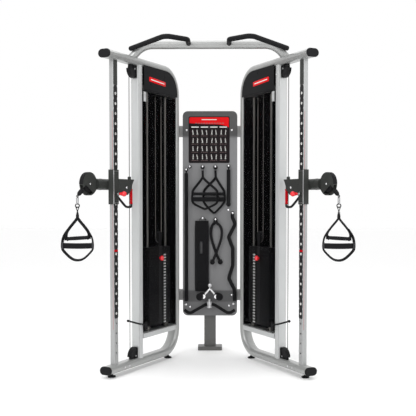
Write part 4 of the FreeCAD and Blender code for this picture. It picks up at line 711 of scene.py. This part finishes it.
def stitch_rows(bm, line, across, width, lift, rows, pitch=0.0042):
    """Rows of short threads along a strap, on its two faces."""
    travelled = 0.0
    for a, b in zip(line, line[1:]):
        way = (b - a).normalized()
        side = (across - way * across.dot(way)).normalized()
        through = way.cross(side)
        travelled += (b - a).length
        if travelled < pitch:
            continue
        travelled = 0.0
        for row in rows:
            for face in (-1, 1):
                centre = b + side * row * width / 2 + through * face * lift
                block(bm, centre, (way, side, through), (pitch * 0.6, 0.0009, 0.0005))


def hand_strap(side):
    """Webbing from the ring to the grip, the wider loop below it and the stitched joints."""
    spot = tower(side, *STRAP_PLACE, 0)
    lean = -MIRROR[side]
    low, drop = 0.946, MIRROR[side] * 0.0045

    def at(x, z, y=0.0):
        return spot + Vector((x, y, z))

    bm = bmesh.new()
    # the eye round the ring, and the stem below it, twisted a little towards the user
    for way in (1, -1):
        eye = soft_line([at(way * x, z) for x, z in ((0.0012, 1.120), (0.0065, 1.134),
                                                     (0.0105, 1.146), (0.0035, 1.1485), (0, 1.1475))], 5)
        sweep(bm, eye, webbing_section(0.023, 0.0022), BACK)
    twist = [Vector((math.sin(a), math.cos(a), 0))
             for a in [lean * 1.05 * min(1, i / 10) for i in range(17)]]
    stem = [at(0, 1.128 - 0.062 * i / 16) for i in range(17)]
    sweep(bm, stem, webbing_section(0.025, 0.0062), twist)
    legs = []
    for way in (-1, 1):
        end = low + way * drop
        leg = soft_line([at(0, 1.076), at(way * 0.012, 1.058), at(way * 0.045, 1.020),
                         at(way * 0.071, 0.984), at(way * 0.0745, end + 0.012),
                         at(way * 0.0745, end - 0.010)], 7)
        sweep(bm, leg, webbing_section(0.025, 0.003), leaning(leg, 0.68))
        legs.append(leg)
    half = [(0.040, 0.812), (0.090, 0.862), (0.099, 0.880), (0.099, 0.920), (0.088, 0.966),
            (0.058, 1.004)]
    loop = soft_line([at(-x, z) for x, z in half[::-1]] + [at(0, 0.802)] +
                     [at(x, z) for x, z in half], 7)
    sweep(bm, loop, webbing_section(0.025, 0.003), leaning(loop, 0.58))
    piece(side + "_webbing", bm, "webbing", side + "_handle",
          replaces=(side + "_handle_webbing",))
    bm = bmesh.new()
    stitch_rows(bm, [at(0, 1.118 - 0.0042 * i) for i in range(10)], twist[-1], 0.025, 0.0033,
                (-0.7, 0, 0.7), 0.004)
    for leg in legs:
        stitch_rows(bm, leg[-14:], leaning(leg, 0.68)[-7], 0.025, 0.0016, (-0.75, 0.75), 0.003)
    piece(side + "_stitching", bm, THREAD, side + "_handle", "webbing")


def pillow(bm, centre, axes, size, crown, rows, sag):
    """Stuffed pad: crowned faces that thin out to a piped edge; axes are long, tall, through."""
    long, tall, deep = size
    last_i, last_j = rows * 3, rows
    made = {}
    for face in (1, -1):
        for i in range(last_i + 1):
            u = -1 + 2 * i / last_i
            for j in range(last_j + 1):
                v = -1 + 2 * j / last_j
                puff = (1 - abs(u) ** 6) ** 0.5 * (1 - abs(v) ** 4) ** 0.5
                thick = deep / 2 * ((1 - crown) + crown * puff)
                edge = 1 - 0.06 * abs(u) ** 8
                made[face, i, j] = bm.verts.new(
                    centre + axes[0] * u * long / 2 * (1 - 0.02 * abs(v) ** 6)
                    + axes[1] * (v * tall / 2 * edge - sag * (1 - u * u)) + axes[2] * face * thick)
    for face in (1, -1):
        for i in range(last_i):
            for j in range(last_j):
                bm.faces.new([made[face, *k] for k in
                              ((i, j), (i + 1, j), (i + 1, j + 1), (i, j + 1))])
    border = ([(i, 0) for i in range(last_i + 1)] + [(last_i, j) for j in range(1, last_j + 1)] +
              [(i, last_j) for i in range(last_i - 1, -1, -1)] +
              [(0, j) for j in range(last_j - 1, 0, -1)])
    for a, b in zip(border, border[1:] + border[:1]):
        bm.faces.new((made[1, *a], made[1, *b], made[-1, *b], made[-1, *a]))


def foot_pad(side):
    """Padded strap across the loop, folded round the webbing at both ends."""
    spot = tower(side, *STRAP_PLACE, 0)
    axes = (RIGHT, UP, BACK)
    bm = bmesh.new()
    pillow(bm, spot + Vector((0, -0.0055, 0.8985)), axes, (0.199, 0.036, 0.011), 0.55, 10, 0.0025)
    pad = piece(side + "_foot_pad", bm, "webbing", side + "_handle")
    bm = bmesh.new()
    for way in (-1, 1):
        block(bm, spot + Vector((way * 0.0965, -0.001, 0.900)), axes, (0.0085, 0.040, 0.026), 0.003, 3)
    for level in (0.8845, 0.9125):
        for i in range(44):
            x = -0.088 + 0.176 * i / 43
            block(bm, spot + Vector((x, -0.0103, level - 0.0025 * (1 - (x / 0.1) ** 2))), axes,
                  (0.0026, 0.0008, 0.0012))
    piece(side + "_pad_ends", bm, THREAD, side + "_handle", "webbing")


# ---- board and accessories

def on_board(x, up, proud=0.0):
    """Millimetres across, up and out from the board's face, as a point."""
    return Vector((x / 1000, BOARD_FRONT - proud / 1000, up / 1000))


def trail(points, proud, per=6):
    """Smooth line at one distance off the board."""
    return soft_line([on_board(x, up, proud) for x, up in points], per)


def print_flat(bm, outline):
    """Thin printed shape."""
    skin(bm, [outline, [p + FRONT * 0.0003 for p in outline]])


BOARD_AXES = (RIGHT, UP, FRONT)


def printed_bar(bm, x0, x1, z0, z1, lift=3.3):
    centre = on_board((x0 + x1) / 2, (z0 + z1) / 2, lift)
    block(bm, centre, BOARD_AXES, ((x1 - x0) / 1000, (z1 - z0) / 1000, 0.0004))


def limb(bm, x0, z0, x1, z1, wide):
    """Short rounded stroke of a pictogram."""
    start, end = on_board(x0, z0, 3.3), on_board(x1, z1, 3.3)
    way = (end - start).normalized()
    side = way.cross(FRONT)
    turns = [math.pi * i / 6 for i in range(7)]
    outline = [start + (side * math.cos(t) - way * math.sin(t)) * wide / 2000 for t in turns]
    outline += [end - (side * math.cos(t) - way * math.sin(t)) * wide / 2000 for t in turns]
    print_flat(bm, outline)


def placard():
    """Chart of plain pictograms under a red header; bars and dashes stand for print."""
    rng = np.random.default_rng(11)
    pale, dim, red = bmesh.new(), bmesh.new(), bmesh.new()
    for column in range(4):
        left = -146 + column * 73.5
        printed_bar(pale, left, left + 58, 1762, 1770)
        for row in range(4):
            top = 1746 - row * 64
            for figure in range(2):
                x = left + 13 + figure * 34
                bend, step = rng.uniform(-4, 4), rng.uniform(2, 5)
                hip, neck = (x, top - 24), (x + bend, top - 12)
                limb(pale, *hip, *neck, 6.0)
                limb(pale, neck[0], neck[1] + 6, neck[0], neck[1] + 7.5, 5.0)
                limb(pale, hip[0], hip[1], x - step * 0.6, top - 38, 3.6)
                limb(pale, hip[0], hip[1], x + step, top - 37, 3.6)
                hand = (neck[0] + rng.uniform(5, 9) * (1 if figure else -1),
                        neck[1] + rng.uniform(-6, 5))
                limb(dim, neck[0], neck[1] - 2, *hand, 2.6)
            for dash in range(4):
                start = left + 2 + dash * 14
                printed_bar(dim, start, start + rng.uniform(8, 12), top - 50.5, top - 48)
    rows = [(-162 + 310 * t, 1797 - 7 * math.sin(math.pi * t) - 34 * t ** 6)
            for t in [i / 24 for i in range(25)]]
    outline = [on_board(x, z, 3.2) for x, z in
               rows + [(148, 1836), (140, 1843), (-154, 1843), (-162, 1836)]]
    print_flat(red, outline)
    printed_bar(pale, -66, 52, 1821, 1827, 3.7)
    for dash in range(11):
        printed_bar(dim, -116 + dash * 21, -116 + dash * 21 + 15, 1793.5, 1799, 3.7)
    piece("placard_print", pale, MARK_WHITE, "frame", "placard")
    piece("placard_captions", dim, MARK_DIM, "frame", "placard")
    piece("placard_header", red, PRINT_RED, "frame", "placard")


def board_screws():
    bm = bmesh.new()
    for x, up in ((-184, 1742), (172, 1742), (-184, 444), (172, 444)):
        hex_bolt(bm, on_board(x, up), FRONT, 0.0085, 0.005)
    piece("board_screws", bm, "chrome", "frame")
    bm = bmesh.new()
    for x, up in ((-57, 1455), (43, 1455), (146, 1460), (-158, 1455), (-57, 1052), (44, 1043),
                  (145, 1116), (-186, 1432), (0, 526), (-188, 375), (-156, 356), (151, 366),
                  (184, 380), (178, 1092)):
        lathe(bm, [(0.0046, 0.0002), (0.0078, 0.0004), (0.0084, 0.003), (0.0070, 0.0065),
                   (0.0035, 0.0082), (0, 0.0086)], on_board(x, up, 62), FRONT, 20)
    piece("peg_caps", bm, "chrome", "frame")
    bm = bmesh.new()
    for x, up in ((-57, 1455), (43, 1455), (146, 1460), (-158, 1455), (178, 1092)):
        lathe(bm, [(0.0046, 0.0002), (0.0125, 0.0002), (0.0135, 0.002), (0.012, 0.0045),
                   (0.0048, 0.0055)], on_board(x, up, 1), FRONT, 24)
    piece("peg_roses", bm, "black_plastic", "frame")


def grip_tube(bm, start, end, radius, ribs=9):
    """Foam or rubber grip with shallow ribs and flared, rounded ends."""
    way = end - start
    length = way.length
    flare = [(radius * 0.55, 0), (radius * 1.05, 0.0006), (radius * 1.22, 0.003),
             (radius * 1.2, 0.006), (radius * 0.98, 0.0095)]
    profile = list(flare)
    for i in range(ribs * 4 + 1):
        t = i / (ribs * 4)
        wave = 0.025 * math.cos(2 * math.pi * ribs * t)
        swell = 0.95 + 0.07 * math.sin(math.pi * t)
        profile.append((radius * (swell + wave), 0.012 + (length - 0.024) * t))
    profile += [(r, length - h) for r, h in reversed(flare)]
    lathe(bm, profile, start, way, 28)


def stirrup(name, x, left, right, bottom, proud):
    """Handle on webbing that hangs on a peg, with a padded band under its grip."""
    def at(px, up, out=0.0):
        return on_board(px, up, proud + out)

    bm = bmesh.new()
    for way in (-1, 1):
        line = soft_line([at(x + way * 1.2, 1417), at(x + way * 7, 1428), at(x + way * 9.5, 1437),
                          at(x + way * 3, 1440.5), at(x, 1440)], 5)
        sweep(bm, line, webbing_section(0.020, 0.002), BACK)
    stem = [at(x + 2 * i / 12, 1424 - 58 * i / 12) for i in range(13)]
    sweep(bm, stem, webbing_section(0.022, 0.0056), leaning(stem, 0.85))
    legs = []
    for end in (left, right):
        way = 1 if end > x else -1
        leg = soft_line([at(x + 2, 1372), at(x + 2 + way * 9, 1356), at(x + 0.62 * (end - x), 1306),
                         at(end + way * 1, 1268), at(end + way * 2, 1246), at(end + way * 2, 1229)], 6)
        sweep(bm, leg, webbing_section(0.022, 0.003), leaning(leg, 0.95))
        legs.append(leg)
    middle = (left + right) / 2
    loop = soft_line([at(left - 1, 1262), at(left - 7, 1222), at(left - 7, 1188),
                      at(left + 6, 1162), at(middle - 16, bottom + 6), at(middle, bottom - 2),
                      at(middle + 16, bottom + 6), at(right - 6, 1162), at(right + 7, 1188),
                      at(right + 7, 1222), at(right + 1, 1262)], 7)
    sweep(bm, loop, webbing_section(0.022, 0.003), leaning(loop, 0.80))
    piece(name + "_webbing", bm, "webbing", "frame")
    bm = bmesh.new()
    stitch_rows(bm, [at(x + 0.5, 1414 - 4 * i) for i in range(9)], leaning(stem, 0.85)[3], 0.022,
                0.003, (-0.7, 0, 0.7), 0.0035)
    for leg in legs:
        stitch_rows(bm, leg[-10:], leaning(leg, 0.95)[-5], 0.022, 0.0016, (-0.7, 0.7), 0.003)
    piece(name + "_stitching", bm, THREAD, "frame", "webbing")
    bm = bmesh.new()
    ring(bm, at(x, 1450), 0.0132, 0.0038)
    piece(name + "_ring", bm, "black_plastic", "frame",
          replaces=("stirrup_handles",) if name == "stirrup_left" else ())
    bm = bmesh.new()
    grip_tube(bm, at(left + 2, 1242), at(right - 2, 1242), 0.0118)
    piece(name + "_grip", bm, "black_rubber", "frame")
    bm = bmesh.new()
    pillow(bm, at(middle, 1200, 5.5), BOARD_AXES, ((right - left + 8) / 1000, 0.034, 0.009), 0.5,
           8, 0.0015)
    band = piece(name + "_band", bm, "webbing", "frame")


def padded_strap():
    """Long folded pad with a slit, bound edges and a hanger tab."""
    outline = bmesh.new()
    x0, x1, z0, z1 = -117, -11, 476, 1031
    hole = (-79, -59, 772, 868)
    near, far = 38.5, 11.5

    def level(x, z, face):
        """Distance off the board: quilted faces that thin out towards every edge."""
        edge = min(x - x0, x1 - x, z - z0, z1 - z)
        dx = max(hole[0] - x, x - hole[1], 0)
        dz = max(hole[2] - z, z - hole[3], 0)
        edge = min(edge, math.hypot(dx, dz))
        crown = 1 - math.exp(-max(edge, 0) / 7.0)
        seam = min(abs(((z - z0) % 139) - 69.5), 60)
        crown *= 1 - 0.30 * math.exp(-(seam / 4.5) ** 2)
        middle = (near + far) / 2
        half = (near - far) / 2
        return middle + face * half * (0.42 + 0.58 * crown)

    xs = [x0, -114, -108, -98, -88, -82, hole[0], -74, -69, -64, hole[1], -55, -47, -36, -25, -17, x1]
    zs = [z0] + [z0 + 4 + (z1 - z0 - 8) * i / 90 for i in range(91)] + [z1]
    zs = sorted(set([round(z, 2) for z in zs if abs(z - hole[2]) > 3 and abs(z - hole[3]) > 3] +
                    [hole[2], hole[3]]))
    grid = {}
    for face in (-1, 1):
        for i, x in enumerate(xs):
            for j, z in enumerate(zs):
                if hole[0] < x < hole[1] and hole[2] < z < hole[3]:
                    continue
                grid[face, i, j] = outline.verts.new(on_board(x, z, level(x, z, face)))
    used = {}
    for i in range(len(xs) - 1):
        for j in range(len(zs) - 1):
            x, z = (xs[i] + xs[i + 1]) / 2, (zs[j] + zs[j + 1]) / 2
            if hole[0] < x < hole[1] and hole[2] < z < hole[3]:
                continue
            loop = [(i, j), (i + 1, j), (i + 1, j + 1), (i, j + 1)]
            for face in (-1, 1):
                outline.faces.new([grid[(face, *k)] for k in loop])
            for a, b in zip(loop, loop[1:] + loop[:1]):
                used[tuple(sorted((a, b)))] = used.get(tuple(sorted((a, b))), 0) + 1
    for (a, b), count in used.items():
        if count == 1:
            outline.faces.new((grid[(-1, *a)], grid[(-1, *b)], grid[(1, *b)], grid[(1, *a)]))
    strap = piece("pad_strap", outline, "webbing", "frame",
                  replaces=("padded_strap",), sharp=50)
    bm = bmesh.new()
    rim = [(-110, 1029), (-116, 1000), (-117.2, 960), (-117.2, 520), (-116, 482), (-104, 477)]
    rim += [(x0 + x1 - x, z) for x, z in rim[::-1]]
    sweep(bm, trail(rim, 25), circle(0.0028, 8), BACK)
    slit = trail([(-69, 868.5), (-79, 868.5), (-79, 820), (-79, 771.5), (-69, 771.5), (-59, 771.5),
                  (-59, 820), (-59, 868.5), (-69, 868.5)], 36)
    sweep(bm, slit[:-1], circle(0.0022, 8), BACK, closed=True)
    for x in (-107, -21):
        for i in range(130):
            block(bm, on_board(x, 492 + 524 * i / 129, 37.2), BOARD_AXES, (0.0009, 0.0027, 0.0022))
    piece("pad_binding", bm, THREAD, "frame", "webbing")
    bm = bmesh.new()
    sweep(bm, trail([(-84, 1018), (-80, 1040), (-72, 1054), (-57, 1061.5), (-42, 1054), (-34, 1040),
                     (-30, 1018)], 26), webbing_section(0.014, 0.003), BACK)
    piece("pad_hanger", bm, "webbing", "frame")


def rope(name, points, ball_at):
    """Half of the pulling rope, from the clamp down to its rubber ball."""
    data = bpy.data.curves.new(name, "CURVE")
    data.dimensions = "3D"
    spline = data.splines.new("NURBS")
    spline.points.add(len(points) - 1)
    for point, (x, up, proud) in zip(spline.points, points):
        point.co = (*on_board(x, up, proud), 1)
    spline.order_u = 3
    spline.use_endpoint_u = True
    data.resolution_u = 12
    data.bevel_depth = 0.0102
    data.bevel_resolution = 5
    data.use_fill_caps = True
    data.materials.append(ROPE_BLACK)
    cord = add_object(name, data)
    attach(cord, "frame")
    bm = bmesh.new()
    lathe(bm, [(0, -0.0195), (0.009, -0.0180), (0.0150, -0.0130), (0.0190, -0.0055), (0.0200, 0),
               (0.0190, 0.0055), (0.0150, 0.0135), (0.0125, 0.0180), (0.0110, 0.0205)],
          on_board(*ball_at), UP)
    ball = piece(name + "_ball", bm, "black_rubber", "frame")


def pulling_rope():
    bm = bmesh.new()
    ring(bm, on_board(44, 1040.1, 30), 0.012, 0.0045)
    piece("rope_eye", bm, "black_plastic", "frame",
          replaces=("triceps_rope",))
    bm = bmesh.new()
    block(bm, on_board(44, 1017, 30), BOARD_AXES, (0.036, 0.022, 0.046), 0.006, 3)
    piece("rope_clamp", bm, "black_rubber", "frame")
    rope("rope_left", [(39, 1014, 20), (12, 1000, 20), (4, 910, 20), (46, 776, 20), (78, 712, 20)],
         (81, 706, 20))
    rope("rope_right", [(49, 1014, 41), (86, 1000, 41), (98, 910, 41), (50, 776, 41),
                        (22, 712, 41)], (19, 706, 41))


def bar_details():
    """Rubber sleeves of the V handle and the swivel block of the drooping bar."""
    bm = bmesh.new()
    for x in (-62, 58):
        start = on_board(x, 442, 62)
        grip_tube(bm, start, start + Vector((math.copysign(0.018, x), -0.068, 0)), 0.0235, 7)
    piece("v_handle_sleeves", bm, "black_rubber", "frame")
    bm = bmesh.new()
    lathe(bm, [(0.0150, 0), (0.0196, 0.0010), (0.0205, 0.0030), (0.0205, 0.0190), (0.0190, 0.0215),
               (0.0190, 0.0225), (0.0205, 0.0245), (0.0205, 0.0500), (0.0196, 0.0530),
               (0.0120, 0.0560), (0.0100, 0.0600), (0.0100, 0.0700), (0.0030, 0.0720)],
          on_board(-4, 346, 48), UP, 32)
    piece("lat_bar_swivel", bm, "steel", "frame")
    bm = bmesh.new()
    for x in (-201, 196):
        way = Vector((0.81 if x < 0 else -0.83, 0, -0.59 if x < 0 else -0.55))
        end = on_board(x, 330, 48)
        grip_tube(bm, end - way * 0.001, end + way * 0.040, 0.0113, 4)
    piece("lat_bar_ends", bm, "black_rubber", "frame")


def lever(side):
    """Black lever with a ball end on a clevis plate, over the CAD rod of the same shape."""
    rear, user, up = tower_axes(side)
    bm = bmesh.new()
    line = soft_line([tower(side, u, 0.0430, z) for u, z in
                      ((0.372, 0.310), (0.340, 0.313), (0.306, 0.3165), (0.230, 0.338),
                       (0.152, 0.360))], 8)
    sweep(bm, line, circle(0.0062, 14), user)
    way = -rear * 0.96 + up * 0.28
    lathe(bm, [(0.0040, 0), (0.0052, 0.001), (0.0052, 0.004), (0.0040, 0.006), (0.0040, 0.0100)],
          tower(side, 0.150, 0.0430, 0.3605), way, 16)
    lathe(bm, [(0.0030, -0.0094), (0.0066, -0.0070), (0.0092, -0.0020), (0.0096, 0.0020),
               (0.0080, 0.0060), (0.0046, 0.0088), (0.0004, 0.0096)],
          tower(side, 0.137, 0.0430, 0.364), way, 22)
    block(bm, tower(side, 0.366, 0.0400, 0.300), (rear, user, up), (0.030, 0.0070, 0.052), 0.0025, 3)
    piece(side + "_lever_cover", bm, "black_plastic", "frame")


def handle_grips(side):
    """Ribbed grips of the hand strap and of the carriage."""
    spot = tower(side, *STRAP_PLACE, 0.946)
    lift = Vector((0, 0, MIRROR[side] * 0.0043))
    reach = Vector((0.070, 0, 0))
    bm = bmesh.new()
    grip_tube(bm, spot - reach - lift, spot + reach + lift, 0.0122, 11)
    piece(side + "_ribbed_grip", bm, "black_rubber", side + "_handle",
          replaces=(side + "_handle_grip",))
    bm = bmesh.new()
    grip_tube(bm, tower(side, 0.226, 0.013, 1.163), tower(side, 0.226, 0.013, 1.266), 0.0095, 8)
    piece(side + "_ribbed_sleeve", bm, "red_grip", side + "_carriage",
          replaces=(side + "_carriage_grip",))


for side in SIDES:
    for make in (column_scale, shroud, rear_shade_strip, badge, shroud_bracket, stack_marks, stack_cable,
                 carriage_details, head_details, snap_hook, hand_strap, foot_pad, handle_grips,
                 lever):
        make(side)

placard()
bar_details()
board_screws()
stirrup("stirrup_left", -57, -133, 56, 1123, 48)
stirrup("stirrup_right", 43, -46, 110, 1094, 18)
padded_strap()
pulling_rope()
